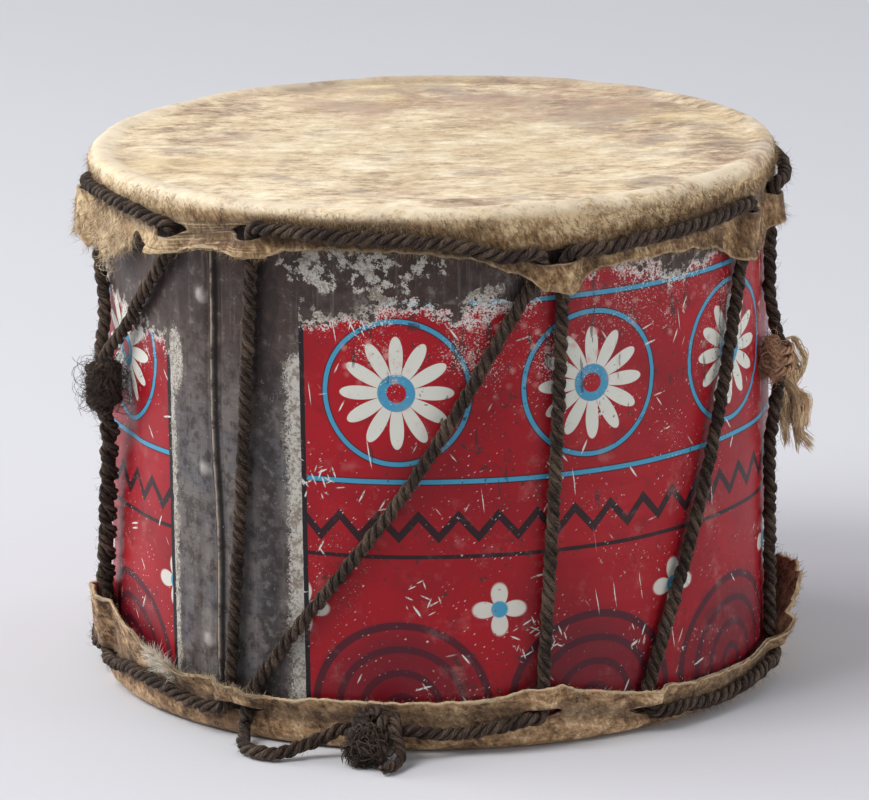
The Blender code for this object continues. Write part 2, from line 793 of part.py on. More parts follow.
def tassel(name, surface):
    """A tuft of jute: a lobed bundle that swells from its root and gathers at its ends."""
    root, aside, outward, up = tassel_frame()
    lobes, sides = 6, 24
    levels = (
        (-0.02, 0.35, 0.0), (0.02, 0.7, 0.0), (0.22, 1.05, 0.0014), (0.36, 1.7, 0.0028),
        (0.55, TASSEL_RADIUS / TASSEL_ROOT, 0.0044), (0.76, 2.2, 0.0044), (0.92, 1.5, 0.0040),
        (1.0, 0.7, 0.0038),
    )

    def build(shape):
        rings = []
        for share, wide, lean in levels:
            middle = root + outward * lean - up * (TASSEL_LENGTH * share)
            ring = []
            for i in range(sides):
                turn = 2 * math.pi * i / sides
                lobe = 1 + 0.12 * math.cos(lobes * turn + 3 * share) * ease(share * 4)
                reach = TASSEL_ROOT * wide * lobe
                ring.append(shape.verts.new(middle + aside * reach * math.cos(turn)
                                            + outward * reach * math.sin(turn)))
            rings.append(ring)
        for a, b in zip(rings, rings[1:]):
            for i in range(sides):
                j = (i + 1) % sides
                shape.faces.new((a[i], a[j], b[j], b[i]))
        shape.faces.new(rings[0])
        shape.faces.new(rings[-1])

    mesh = mesh_from(build, name)
    mesh.transform(Matrix.Translation(-root))
    item = finish(name, mesh, surface)
    item.location = root
    return item


def main():
    clear_scene()
    paint = material("red_paint", (0.42, 0.012, 0.022), 0.38)
    steel = material("bare_steel", (0.24, 0.22, 0.20), 0.45, 0.85)
    top_hide = material("top_hide", (0.56, 0.43, 0.27), 0.62)
    bottom_hide = material("bottom_hide", (0.36, 0.27, 0.17), 0.7)
    twine = material("twine", (0.075, 0.055, 0.042), 0.85)
    jute = material("jute", (0.42, 0.27, 0.15), 0.85)

    can_shell(paint)
    end_ring("top_end_ring", TOP, steel)
    end_ring("bottom_end_ring", BOTTOM, steel)
    head("top_head", TOP, TOP_SAG, top_hide)
    head("bottom_head", BOTTOM, 0.0, bottom_hide)

    tube("lacing_cord", thinned(smooth(lacing_route())), CORD, twine)
    tube("slack_loop", thinned(smooth(slack_route())), CORD, twine)
    windings = (
        ("cord_tie", tie_route(), TIE_CORD, twine),
        ("front_knot", knot_route(), KNOT_CORD, twine),
        ("jute_tie", jute_route(), JUTE_CORD, jute),
    )
    for name, route, width, surface in windings:
        tube(name, route, width, surface, sides=1)
        gap = least_self_gap(route, width, 2 * math.pi * width)
        print(f"{name}: least gap between its turns {gap * 1000:.2f} mm")
    tassel("jute_tassel", jute)


main()
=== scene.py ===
"""A laced rawhide drum made from a food tin, dressed over its CAD frame.

Metres, +Z up. Angles go round the drum in degrees: 0 is the front (-Y), growing towards +X.
"""

import math

import bpy
import numpy as np
from mathutils import Matrix, Vector, noise


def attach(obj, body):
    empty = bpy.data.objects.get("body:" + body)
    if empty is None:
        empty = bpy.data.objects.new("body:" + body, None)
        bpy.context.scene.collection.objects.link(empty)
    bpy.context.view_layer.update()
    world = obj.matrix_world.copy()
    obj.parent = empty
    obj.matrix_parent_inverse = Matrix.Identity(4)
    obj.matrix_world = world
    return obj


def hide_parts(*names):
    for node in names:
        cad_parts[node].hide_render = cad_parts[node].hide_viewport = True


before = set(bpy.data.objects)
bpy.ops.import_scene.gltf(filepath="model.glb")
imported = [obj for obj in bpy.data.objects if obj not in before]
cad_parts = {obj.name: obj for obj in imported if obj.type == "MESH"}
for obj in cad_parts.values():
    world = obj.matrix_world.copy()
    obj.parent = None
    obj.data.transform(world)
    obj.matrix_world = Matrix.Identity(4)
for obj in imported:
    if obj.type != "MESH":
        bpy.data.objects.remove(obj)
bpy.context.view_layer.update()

# Sizes and the lacing's plan, as in the part
CAN_RADIUS = 0.0768
CAN_WALL = 0.0004
CAN_HEIGHT = 0.1210
LOCK_SEAM_ANGLE = -40.4
SKIN = 0.0010
SHOULDER = 0.0022
TOP_SAG = 0.0016
MOUTH_WIDTH = 0.0092
MOUTH_HEIGHT = 0.0044
DRAPE_REACH = 16
CORD = 0.0032
PAIR_SPACING = 0.0050
TWIST_SPACING = 0.0039
TIE_CORD = 0.0020
KNOT_CORD = 0.0026
JUTE_CORD = 0.0018
GAP = 0.0003
DRAPE_ROOM = 0.0004
WIND_GAP = 0.0005
TOP, BOTTOM = 1, -1
DRUM_HEIGHT = CAN_HEIGHT + 2 * (SKIN + GAP)
CAN_BOTTOM = SKIN + GAP
SKIN_INNER = CAN_RADIUS + GAP + 0.0003 + GAP
SKIN_OUTER = SKIN_INNER + SKIN
ON_CAN = CAN_RADIUS + GAP + CORD / 2
DRAPE = ON_CAN + CORD / 2 + GAP + DRAPE_ROOM - SKIN_INNER
DEGREE = math.radians(1) * CAN_RADIUS
MM_PER_DEGREE = DEGREE * 1000

# Hem of each skirt: angle, and the skirt's length from the end face in millimetres
HEMS = {
    TOP: (
        (-88, 16), (-77, 18), (-66, 18.6), (-60.5, 17), (-57, 11.6), (-53, 13.4), (-48, 13.6),
        (-38, 10.6), (-30, 11.6), (-22, 9.4), (-4, 9.4), (5, 11), (13, 15), (18, 19.2),
        (22, 19.2), (28, 15.4), (45, 14.8), (52, 16.2), (60, 20.8), (69, 21.6), (74, 17),
        (84, 15), (100, 17), (116, 13.6), (135, 16), (152, 14.6), (172, 17.5), (190, 13.8),
        (206, 16), (222, 15), (240, 18), (256, 14.6),
    ),
    BOTTOM: (
        (-92, 19), (-78, 23), (-64.5, 17.5), (-55, 14.3), (-47, 12), (-40, 12.8), (-35, 12.4),
        (-28, 10.4), (-19, 11.7), (-4, 11.6), (6, 12), (17.5, 14.8), (24, 12.2), (31, 10.4),
        (38, 10), (46, 8.4), (62, 8), (71, 9.4), (80, 14.5), (88, 20), (96, 20.5), (106, 15),
        (118, 12.5), (136, 13.5), (152, 12), (170, 13.5), (190, 11.5), (212, 12.8), (235, 14),
        (250, 12.5),
    ),
}
# How far each hem stands off the tin, in millimetres
STAND_OFF = {
    TOP: ((-90, 1.0), (-68, 1.3), (-57, 0.3), (-48, 1.3), (-38, 1.5), (-26, 0.6), (0, 0.2),
          (45, 0.2), (66, 0.6), (90, 0.2), (180, 0.5)),
    BOTTOM: ((-80, 0.5), (0, 0.5), (45, 0.4), (70, 0.9), (82, 2.4), (92, 2.8), (104, 1.0),
             (130, 0.4), (200, 0.5)),
}

# Mouths cut in each skirt for the cord: angle, and depth from the end face in millimetres
MOUTHS = {
    TOP: ((-83, 6.8), (-47.2, 8.4), (-31, 6.3), (19.1, 11.6), (63.5, 9.3), (76.5, 8.8),
          (128, 8.2), (151, 8.0), (195, 8.6), (217, 8.2), (257, 8.0)),
    BOTTOM: ((-78, 8.2), (-35.5, 7.4), (16.4, 8.2), (35.5, 5.2), (75, 6.0), (101, 6.6),
             (146, 6.4), (169, 6.8), (212, 6.4), (235, 6.8)),
}
# The cord's way round: which end, the mouth's angle, and its side of a mouth that holds two
STATIONS = (
    (BOTTOM, 16.4, 0), (TOP, 19.1, 1), (TOP, 63.5, 0), (BOTTOM, 35.5, 0),
    (BOTTOM, 75, 0), (TOP, 76.5, 0), (TOP, 128, 0), (BOTTOM, 101, 0),
    (BOTTOM, 146, 0), (TOP, 151, 0), (TOP, 195, 0), (BOTTOM, 169, 0),
    (BOTTOM, 212, 0), (TOP, 217, 0), (TOP, 257, 0), (BOTTOM, 235, 0),
    (BOTTOM, 282, -1), (TOP, 277, 0), (TOP, 312.8, 0), (BOTTOM, 282, 1),
    (BOTTOM, 324.5, -1), (TOP, 329, 0), (TOP, 379.1, -1), (BOTTOM, 324.5, 1),
)
# Heights in millimetres that the outside runs pass through, by the station that they leave
RUN_HEIGHTS = {
    1: ((30, 113.6), (45, 114.2)),
    3: ((45, 3.4), (56, 3.6)),
    17: ((286, 118.4), (297, 118.0), (306, 117.2)),
    19: ((298, 8.9), (308, 8.0)),
    21: ((342, 118.0), (355, 117.2), (369, 115.0)),
}

# How far below the mouth's middle the cord has reached the tin, and its leg has begun
DIVE_DEPTH, LEG_DEPTH = 0.0027, 0.0062
# The least room between two surfaces that rest on each other
TOUCH = 0.0001

# The tie that draws two stretches of the cord together at the left
TIE_ANGLE = 289.7
TIE_HEIGHT = 0.0730
TIE_TURNS = 4
TWIST_LOW = 0.0340
TWIST_HIGH = 0.0640
TWIST_LEAN = -6.0
# The same pair as it looks: pressed together, with more turns
PAIR_TIGHT = 0.0023
PAIR_TURNS = 4
PAIR_LOW = 0.0235
PAIR_SLIM = 0.80
# The stations whose legs are tied, and the side that each takes in the pair
TIED = {16: -1, 17: -1, 18: 1, 19: 1}

# The knot that joins the cord's two ends, low at the front
KNOT_ANGLE = -10.0
KNOT_HEIGHT = 0.0066
KNOT_TURNS = 3
# How far the cord runs straight on either side of the knot, and a place on the way
KNOT_RUN = 0.007
KNOT_WAY = KNOT_RUN * 0.6

# The jute tie and its tassel on the cord at the right, on the leg from this station
JUTE_LEG = 4
JUTE_HEIGHT = 0.0745
JUTE_TURNS = 3
TASSEL_ROOT = 0.0016


def at(angle, height, radius):
    """A place from its angle round the drum, its height and its distance from the axis."""
    turn = math.radians(angle)
    return Vector((radius * math.sin(turn), -radius * math.cos(turn), height))


def ease(share):
    share = min(max(share, 0.0), 1.0)
    return share * share * (3 - 2 * share)


def around(points, angle):
    """Reads a closed list of (angle, value) at any angle, easing from each to the next."""
    first = points[0][0]
    angle = first + (angle - first) % 360
    closed = list(points) + [(first + 360, points[0][1])]
    for (a, value_a), (b, value_b) in zip(closed, closed[1:]):
        if angle <= b:
            return value_a + (value_b - value_a) * ease((angle - a) / (b - a))
    return points[0][1]


def apart(a, b):
    """The signed angle from b to a, within half a turn."""
    return (a - b + 180) % 360 - 180


# Where the skirts lie


def height_of(end, depth):
    return DRUM_HEIGHT - depth if end == TOP else depth


def mouth_depth(end, angle):
    return min(MOUTHS[end], key=lambda mouth: abs(apart(mouth[0], angle)))[1] / 1000


def hem_depth(end, angle):
    return around(HEMS[end], angle) / 1000


def depth_of(station):
    """The depth of the mouth that a station goes through."""
    return mouth_depth(*station[:2])


def station_angle(station):
    _, angle, side = station
    return angle + side * PAIR_SPACING / 2 / DEGREE


def heading(index):
    """The place on the tin, as (angle, height), that the leg from a station makes for."""
    partner = index + 1 if index % 2 == 0 else index - 1
    end = STATIONS[index][0]
    if index in TIED:
        side = TIED[index]
        if end == TOP:
            return TIE_ANGLE + side * tie_offset(), TIE_HEIGHT + tie_reach()
        return TIE_ANGLE + TWIST_LEAN + side * TWIST_SPACING / 2 / DEGREE, TWIST_LOW
    other = STATIONS[partner]
    depth = depth_of(other) + DIVE_DEPTH
    return station_angle(other), height_of(other[0], depth)


def leg_lean(index):
    """Degrees that the leg from a station leans, for each metre away from its mouth."""
    station = STATIONS[index]
    angle, height = heading(index)
    start = height_of(station[0], depth_of(station) + DIVE_DEPTH)
    return (angle - station_angle(station)) / abs(height - start)


def leg_angle(index, depth):
    """The angle of a station's leg at a depth, while it is still near its own mouth."""
    station = STATIONS[index]
    past = max(0.0, depth - depth_of(station) - DIVE_DEPTH)
    return station_angle(station) + leg_lean(index) * past


def mouth_half_width(end, angle):
    """Half the width of the mouth at this angle, wider where two stretches share it."""
    shared = [s for s in STATIONS if s[0] == end and s[2] and abs(apart(s[1], angle)) < 1]
    return MOUTH_WIDTH / 2 + (PAIR_SPACING / 2 if shared else 0)


def lens(end, angle):
    """How far open the skirt is here, from 0 to 1, and the depth of the opening's middle."""
    for place, depth in MOUTHS[end]:
        share = abs(apart(angle, place)) * DEGREE / mouth_half_width(end, place)
        if share < 1:
            return 1 - share ** 3, depth / 1000
    return 0.0, None


def slit_line(end, angle):
    """The depth of the row of the skirt that carries the mouths."""
    limit = hem_depth(end, angle) - MOUTH_HEIGHT / 2
    return min(around(MOUTHS[end], angle) / 1000, limit)


def drape(end, angle, depth):
    """How far the skirt is pushed out by the cord that runs under it."""
    push = 0.0
    for index, station in enumerate(STATIONS):
        aside = abs(apart(angle, station_angle(station)))
        if station[0] != end or aside > DRAPE_REACH:
            continue
        slope = leg_lean(index) * DEGREE
        wide = MOUTH_WIDTH / 2 * math.hypot(1, slope)
        share = abs(apart(angle, leg_angle(index, depth))) * DEGREE / wide
        if share < 1:
            push = max(push, DRAPE * (1 - share ** 3) ** 2)
    return push


def skin_radius(end, angle, depth, pushed=True):
    """The inside radius of a skirt at an angle and a depth."""
    share = max(0.0, (depth - SHOULDER) / (hem_depth(end, angle) - SHOULDER))
    stand = around(STAND_OFF[end], angle) / 1000 * min(share, 1.0) ** 2
    return SKIN_INNER + stand + (drape(end, angle, depth) if pushed else 0)


# The cord's route


def smooth(points, steps=8):
    """A smooth curve through the points, as many short straight pieces."""
    points = [Vector(p) for p in points]
    ends = [2 * points[0] - points[1]] + points + [2 * points[-1] - points[-2]]
    out = []
    for p0, p1, p2, p3 in zip(ends, ends[1:], ends[2:], ends[3:]):
        reach = (p2 - p1).length
        m1 = (p2 - p0) * (reach / max((p1 - p0).length + reach, 1e-9))
        m2 = (p3 - p1) * (reach / max((p3 - p2).length + reach, 1e-9))
        for i in range(steps):
            t = i / steps
            a = (1 + 2 * t) * (1 - t) ** 2
            b = t * (1 - t) ** 2
            c = t * t * (3 - 2 * t)
            d = t * t * (t - 1)
            out.append(a * p1 + b * m1 + c * p2 + d * m2)
    return out + [points[-1]]


def outside(end, angle, depth):
    """The cord's place outside a skirt, resting on the skin at an angle and a depth."""
    near = max(skin_radius(end, angle, depth + step) for step in (-CORD / 4, 0, CORD / 4))
    return at(angle, height_of(end, depth), near + SKIN + GAP + CORD / 2 + TOUCH)


def dive(index, side):
    """The cord through a mouth, from outside the skirt to the tin; it runs off to one side."""
    station = STATIONS[index]
    end, angle, depth = station[0], station_angle(station), depth_of(station)
    run_out = side * (MOUTH_WIDTH / 2 - 0.0004) / DEGREE
    radius_out = SKIN_OUTER + GAP + CORD / 2 + 0.0002
    return [
        at(angle + run_out, height_of(end, depth - 0.0011), radius_out),
        at(angle + run_out * 0.2, height_of(end, depth - 0.0007), ON_CAN + 0.0014),
        at(angle, height_of(end, depth + DIVE_DEPTH), ON_CAN + TOUCH),
        on_leg(index, depth + LEG_DEPTH),
    ]


def on_leg(index, depth):
    return at(leg_angle(index, depth), height_of(STATIONS[index][0], depth), ON_CAN)


def run_side(index):
    """Which way the outside run goes from a station: even stations meet it on the left."""
    return 1 if index % 2 else -1


def run(index):
    """The outside run that leaves a station for the next one."""
    here, there = STATIONS[index], STATIONS[index + 1]
    end = here[0]
    start = station_angle(here) + MOUTH_WIDTH / DEGREE
    stop = station_angle(there) - MOUTH_WIDTH / DEGREE
    depth_here, depth_there = depth_of(here), depth_of(there)
    known = [(start, depth_here - 0.0010)]
    for angle, height in RUN_HEIGHTS.get(index, ()):
        known.append((angle, height_of(end, height / 1000)))
    known.append((stop, depth_there - 0.0010))
    count = max(3, round((stop - start) * DEGREE / 0.009))
    points = []
    for i in range(count + 1):
        angle = start + (stop - start) * i / count
        depth = np.interp(angle, [k[0] for k in known], [k[1] for k in known])
        points.append(outside(end, angle, float(depth)))
    return points


def straight_leg(index):
    """A leg on the tin from a station to the next, bowed a little where it runs slanting."""
    start, (stop, stop_height) = STATIONS[index], heading(index)
    end, angle = start[0], station_angle(start)
    low = height_of(end, depth_of(start) + DIVE_DEPTH)
    count = max(5, round(math.hypot((stop - angle) * DEGREE, stop_height - low) / 0.012))
    points = []
    for i in range(1, count):
        share = i / count
        bow = math.sin(math.pi * share) ** 2 * abs(stop - angle) * 0.05
        height = low + (stop_height - low) * share
        points.append(at(angle + (stop - angle) * share + bow, height, ON_CAN))
    return points


def twisted_pair(side):
    """The two stretches of cord wound tightly about each other under the tie, from low to high."""
    points = []
    count = 12 * PAIR_TURNS
    for i in range(count + 1):
        share = i / count
        turn = 2 * math.pi * PAIR_TURNS * share
        middle = TIE_ANGLE + TWIST_LEAN * (1 - share) ** 1.3
        aside = side * PAIR_TIGHT / 2 * math.cos(turn)
        out = side * PAIR_TIGHT / 2 * math.sin(turn)
        radius = ON_CAN + PAIR_TIGHT / 2 + out
        height = PAIR_LOW + (TWIST_HIGH - PAIR_LOW) * share
        points.append(at(middle + aside / DEGREE, height, radius))
    return points


def tie_radius():
    return ON_CAN + TIE_CORD + GAP


def tie_offset():
    """The angle between the tie's middle and either stretch of cord in it."""
    return TWIST_SPACING / 2 / DEGREE * CAN_RADIUS / tie_radius()


def tie_reach():
    """From the tie's middle to where the cord is clear of its turns."""
    return TIE_TURNS * (TIE_CORD + WIND_GAP) / 2 + TIE_CORD


def tied_leg(side):
    """A leg of the tied pair between its two mouths, from low to high."""
    low, high = (16, 17) if side < 0 else (19, 18)
    points = [on_leg(low, PAIR_LOW - 0.0075)]
    points += twisted_pair(side)
    for height in (TIE_HEIGHT - tie_reach(), TIE_HEIGHT, TIE_HEIGHT + tie_reach()):
        points.append(at(TIE_ANGLE + side * tie_offset(), height, tie_radius()))
    to_tie = DRUM_HEIGHT - TIE_HEIGHT - tie_reach()
    for share in (0.75, 0.5):
        points.append(on_leg(high, depth_of(STATIONS[high]) * (1 - share) + to_tie * share))
    return points


def jute_angle():
    """Where the tied cord at the right passes the jute tie."""
    foot, head = STATIONS[JUTE_LEG], STATIONS[JUTE_LEG + 1]
    share = (JUTE_HEIGHT - depth_of(foot)) / DRUM_HEIGHT
    return station_angle(foot) + (station_angle(head) - station_angle(foot)) * share


def jute_leg():
    """The leg at the right, which the jute tie holds off the tin."""
    reach = JUTE_TURNS * (JUTE_CORD + WIND_GAP) / 2 + JUTE_CORD / 2
    points = [p for p in straight_leg(JUTE_LEG) if abs(p.z - JUTE_HEIGHT) > reach + 0.008]
    for height in (JUTE_HEIGHT - reach, JUTE_HEIGHT, JUTE_HEIGHT + reach):
        points.append(at(jute_angle(), height, jute_radius()))
    return sorted(points, key=lambda p: p.z)


def jute_radius():
    return ON_CAN + JUTE_CORD + GAP


def knot_radius():
    return SKIN_OUTER + 0.0006 + GAP + KNOT_CORD + GAP + CORD / 2


def lacing_route():
    """The whole held cord: from the knot, right round the drum, to the last mouth."""
    points = [
        at(KNOT_ANGLE + step / DEGREE, KNOT_HEIGHT, knot_radius())
        for step in (GAP, KNOT_WAY, KNOT_RUN)
    ]
    points += [outside(BOTTOM, 1.0, 0.0048), outside(BOTTOM, 7.0, 0.0056)]
    last = len(STATIONS) - 1
    for index in range(last):
        through = dive(index, run_side(index))
        if index % 2 == 0:
            points += through + leg_between(index)
        else:
            points += through[::-1] + run(index)
    return points + loose_exit()


def leg_between(index):
    if index in TIED:
        return tied_leg(TIED[index])[::TIED[index] * -1]
    if index == JUTE_LEG:
        return jute_leg()
    return straight_leg(index)


def loose_exit():
    """The last mouth, where the cord comes out and hangs: from inside to outside."""
    index = len(STATIONS) - 1
    station = STATIONS[index]
    angle, depth = station_angle(station), depth_of(station)
    return [
        on_leg(index, depth + LEG_DEPTH),
        at(angle, depth + DIVE_DEPTH, ON_CAN + TOUCH),
        at(angle + 0.2, depth - 0.0004, ON_CAN + 0.0013),
        at(angle + 0.5, depth - 0.0028, SKIN_OUTER + GAP + CORD / 2 + 0.0006),
    ]


def slack_route():
    """The free loop: down from the last mouth, over the floor and up to the knot."""
    start = loose_exit()[-1]
    before = loose_exit()[-2]
    onward = (start - before).normalized()
    floor = CORD / 2 + TOUCH
    return [
        start + onward * GAP * 1.3,
        start + onward * 0.0012,
        at(-31.8, floor + 0.0003, 0.0850),
        at(-30.6, floor, 0.0879),
        at(-28.9, floor, 0.0902),
        at(-26.7, floor, 0.0917),
        at(-24.5, floor, 0.0911),
        at(-22.6, floor + 0.0004, 0.0889),
        at(-20.5, 0.0031, 0.0866),
        at(-18.0, 0.0048, 0.0850),
        at(KNOT_ANGLE - KNOT_RUN / DEGREE, KNOT_HEIGHT, knot_radius()),
        at(KNOT_ANGLE - KNOT_WAY / DEGREE, KNOT_HEIGHT, knot_radius()),
        at(KNOT_ANGLE - GAP / DEGREE, KNOT_HEIGHT, knot_radius()),
    ]


# Windings


def frame_at(angle, height, radius):
    """A place on the drum with its sideways, outward and upward directions."""
    turn = math.radians(angle)
    aside = Vector((math.cos(turn), math.sin(turn), 0))
    outward = Vector((math.sin(turn), -math.cos(turn), 0))
    return at(angle, height, radius), aside, outward, Vector((0, 0, 1))


def winding(turns, per_turn, cord, point):
    """A cord's turns, side by side; point places one corner from its turn and its way along."""
    return [point(2 * math.pi * i / per_turn, (cord + WIND_GAP) * (i / per_turn - turns / 2))
            for i in range(turns * per_turn + 1)]


def tie_route():
    """A cord wound round the pair of stretches, with two short ends."""
    place, aside, outward, up = frame_at(TIE_ANGLE, TIE_HEIGHT, tie_radius())
    flat = TWIST_SPACING / 2
    bend = CORD / 2 + GAP + TIE_CORD / 2

    def point(turn, along):
        x = flat * max(-1, min(1, 1.6 * math.cos(turn))) + bend * math.cos(turn)
        y = bend * math.sin(turn) * (1 + 0.05 * abs(math.cos(turn)))
        return place + aside * x + outward * y + up * along

    points = winding(TIE_TURNS, 14, TIE_CORD, point)
    low_end = points[0] + outward * 0.0020 + aside * 0.0010 - up * 0.0004
    high_end = points[-1] + outward * 0.0030 + aside * 0.0006 + up * 0.0008
    return [low_end] + points + [high_end]


def knot_route():
    """The knot's turns round the joined cord ends, and the tail that hangs to the floor."""
    place, aside, outward, up = frame_at(KNOT_ANGLE, KNOT_HEIGHT, knot_radius())
    bend = CORD / 2 + GAP + KNOT_CORD / 2

    def point(turn, along):
        y, z = bend * math.cos(turn), bend * math.sin(turn)
        return place + aside * along + outward * y - up * z

    points = winding(KNOT_TURNS, 12, KNOT_CORD, point)
    last, floor = points[-1], KNOT_CORD / 2 + TOUCH
    for sideways, out, height in ((0.0004, 0.0012, 0.0036), (0.0003, 0.0032, floor + 0.0004),
                                  (-0.0008, 0.0062, floor), (-0.0022, 0.0090, floor)):
        spot = last + aside * (sideways + 0.0010) + outward * out
        points.append(Vector((spot.x, spot.y, height)))
    return points


def jute_frame():
    return frame_at(jute_angle(), JUTE_HEIGHT, jute_radius())


def jute_bend():
    return CORD / 2 + GAP + JUTE_CORD / 2


def tassel_aside():
    """How far the tassel's root hangs beside the cord that it is tied to."""
    return jute_bend() + JUTE_CORD / 2 + GAP * 2 + TASSEL_ROOT


def jute_route():
    """The jute wound round the cord, with its end led over to the tassel's root."""
    place, aside, outward, up = jute_frame()
    bend = jute_bend()

    def point(turn, along):
        return (place + aside * bend * math.cos(turn) - outward * bend * math.sin(turn)
                + up * along)

    points = winding(JUTE_TURNS, 12, JUTE_CORD, point)
    root, _, _, _ = tassel_frame()
    over = root + up * (2 * GAP + JUTE_CORD / 2 + TASSEL_ROOT / 2)
    return points[:-2] + [points[-1] + aside * 0.0004 + up * 0.0003, over]


def tassel_frame():
    """The tassel's root, on the axis that it swings about."""
    place, aside, outward, up = jute_frame()
    top = JUTE_TURNS * (JUTE_CORD + WIND_GAP) / 2 - GAP - JUTE_CORD
    inward = jute_radius() - (CAN_RADIUS + GAP * 2 + TASSEL_ROOT)
    return place + aside * tassel_aside() - outward * inward + up * top, aside, outward, up


# Noise and line helpers


def wobble(angle, seed, scale=1.0):
    """Smooth noise round the drum, about -1 to 1, which meets itself after a full turn."""
    turn = math.radians(angle)
    place = Vector((math.cos(turn) * scale, math.sin(turn) * scale, seed * 7.31))
    return noise.noise(place) * 1.6


def cloud(place, scale, seed):
    return noise.noise(Vector(place) * scale + Vector((seed * 3.7, seed * 1.9, seed * 5.3)))


def unit(rows):
    """The rows of an array, each brought to a length of one."""
    return rows / np.maximum(np.linalg.norm(rows, axis=-1), 1e-9)[..., None]


def even(points, step):
    """The line through the points, set out again at even steps."""
    line = np.array([tuple(p) for p in points])
    reach = np.concatenate([[0], np.cumsum(np.linalg.norm(np.diff(line, axis=0), axis=1))])
    count = max(2, int(round(reach[-1] / step)))
    marks = np.linspace(0, reach[-1], count + 1)
    return np.stack([np.interp(marks, reach, line[:, i]) for i in range(3)], axis=1), marks


def line_frames(line):
    """Tangent, normal and side vectors along a line, carried without twist."""
    tangent = unit(np.gradient(line, axis=0))
    normal = np.zeros_like(line)
    first = np.cross(tangent[0], (0.0, 0.0, 1.0))
    if np.linalg.norm(first) < 0.1:
        first = np.cross(tangent[0], (1.0, 0.0, 0.0))
    normal[0] = first / np.linalg.norm(first)
    for i in range(1, len(line)):
        flat = normal[i - 1] - tangent[i] * (normal[i - 1] @ tangent[i])
        normal[i] = flat / np.linalg.norm(flat)
    return tangent, normal, np.cross(tangent, normal)


# Making meshes

# The least height of a fibre's middle, so that none dips into the floor
ON_FLOOR = 0.0002


def mesh_of(name, verts, quads, tris, surface, smooth=True):
    """A mesh object from arrays of corners, four-sided faces and three-sided faces."""
    quads, tris = np.asarray(quads).reshape(-1, 4), np.asarray(tris).reshape(-1, 3)
    mesh = bpy.data.meshes.new(name)
    mesh.vertices.add(len(verts))
    mesh.vertices.foreach_set("co", np.asarray(verts, dtype=np.float32).ravel())
    loops = np.concatenate([quads.ravel(), tris.ravel()]).astype(np.int32)
    mesh.loops.add(len(loops))
    mesh.loops.foreach_set("vertex_index", loops)
    starts = np.concatenate([
        np.arange(len(quads)) * 4, len(quads) * 4 + np.arange(len(tris)) * 3,
    ]).astype(np.int32)
    mesh.polygons.add(len(starts))
    mesh.polygons.foreach_set("loop_start", starts)
    mesh.update(calc_edges=True)
    mesh.validate()
    mesh.materials.append(surface)
    if smooth:
        mesh.shade_smooth()
    item = bpy.data.objects.new(name, mesh)
    bpy.context.collection.objects.link(item)
    return item


def grid_faces(rings, sides, closed=True):
    """Faces between rings of a tube whose corners are numbered ring by ring."""
    i = np.arange(rings - 1)[:, None] * sides
    j = np.arange(sides if closed else sides - 1)[None]
    k = (j + 1) % sides
    return np.stack([i + j, i + k, i + sides + k, i + sides + j], axis=-1).reshape(-1, 4)


def joined(parts):
    """Several (corners, quads, tris, places) as one."""
    stacks, base = [[], [], [], []], 0
    for verts, quads, tris, lie in parts:
        for stack, values in zip(stacks, (verts, quads + base, tris + base, lie)):
            stack.append(values)
        base += len(verts)
    return [np.concatenate(stack) for stack in stacks]


def hairs(name, lines, thick, surface):
    """Many fine fibres that end in a point, as one mesh; lines has (fibres, points, 3)."""
    count, points, _ = lines.shape
    rings = points - 1
    along = unit(np.gradient(lines, axis=1))
    first = unit(np.cross(along, np.array((0.31, 0.52, 0.79))))
    second = np.cross(along, first)
    taper = np.linspace(1.0, 0.6, rings)[None] * np.asarray(thick).reshape(-1, 1) / 2
    corners = []
    for turn in (0, 2 * math.pi / 3, 4 * math.pi / 3):
        away = first * math.cos(turn) + second * math.sin(turn)
        corners.append(lines[:, :-1] + away[:, :-1] * taper[..., None])
    body = np.stack(corners, axis=2).reshape(count, rings * 3, 3)
    verts = np.concatenate([body, lines[:, -1:]], axis=1).reshape(-1, 3)
    base = np.arange(count)[:, None, None] * (rings * 3 + 1)
    quads = (grid_faces(rings, 3)[None] + base).reshape(-1, 4)
    last = (rings - 1) * 3
    ends = np.array([(2, 1, 0), (last, last + 1, last + 3), (last + 1, last + 2, last + 3),
                     (last + 2, last, last + 3)])
    tris = (ends[None] + base).reshape(-1, 3)
    return mesh_of(name, verts, quads, tris, surface, smooth=False)


# Rope

# How fast the yarns turn round a strand, in radians per metre
YARN_TWIST = 620
# A rope's width over a strand's radius, and how far out a strand's middle lies, in radii
ROPE_WIDTH, STRAND_OUT = 4.31, 1.12
# Metres between the rings of a strand's mesh, and its corners round it
ROPE_STEP, ROPE_SIDES = 0.0006, 8


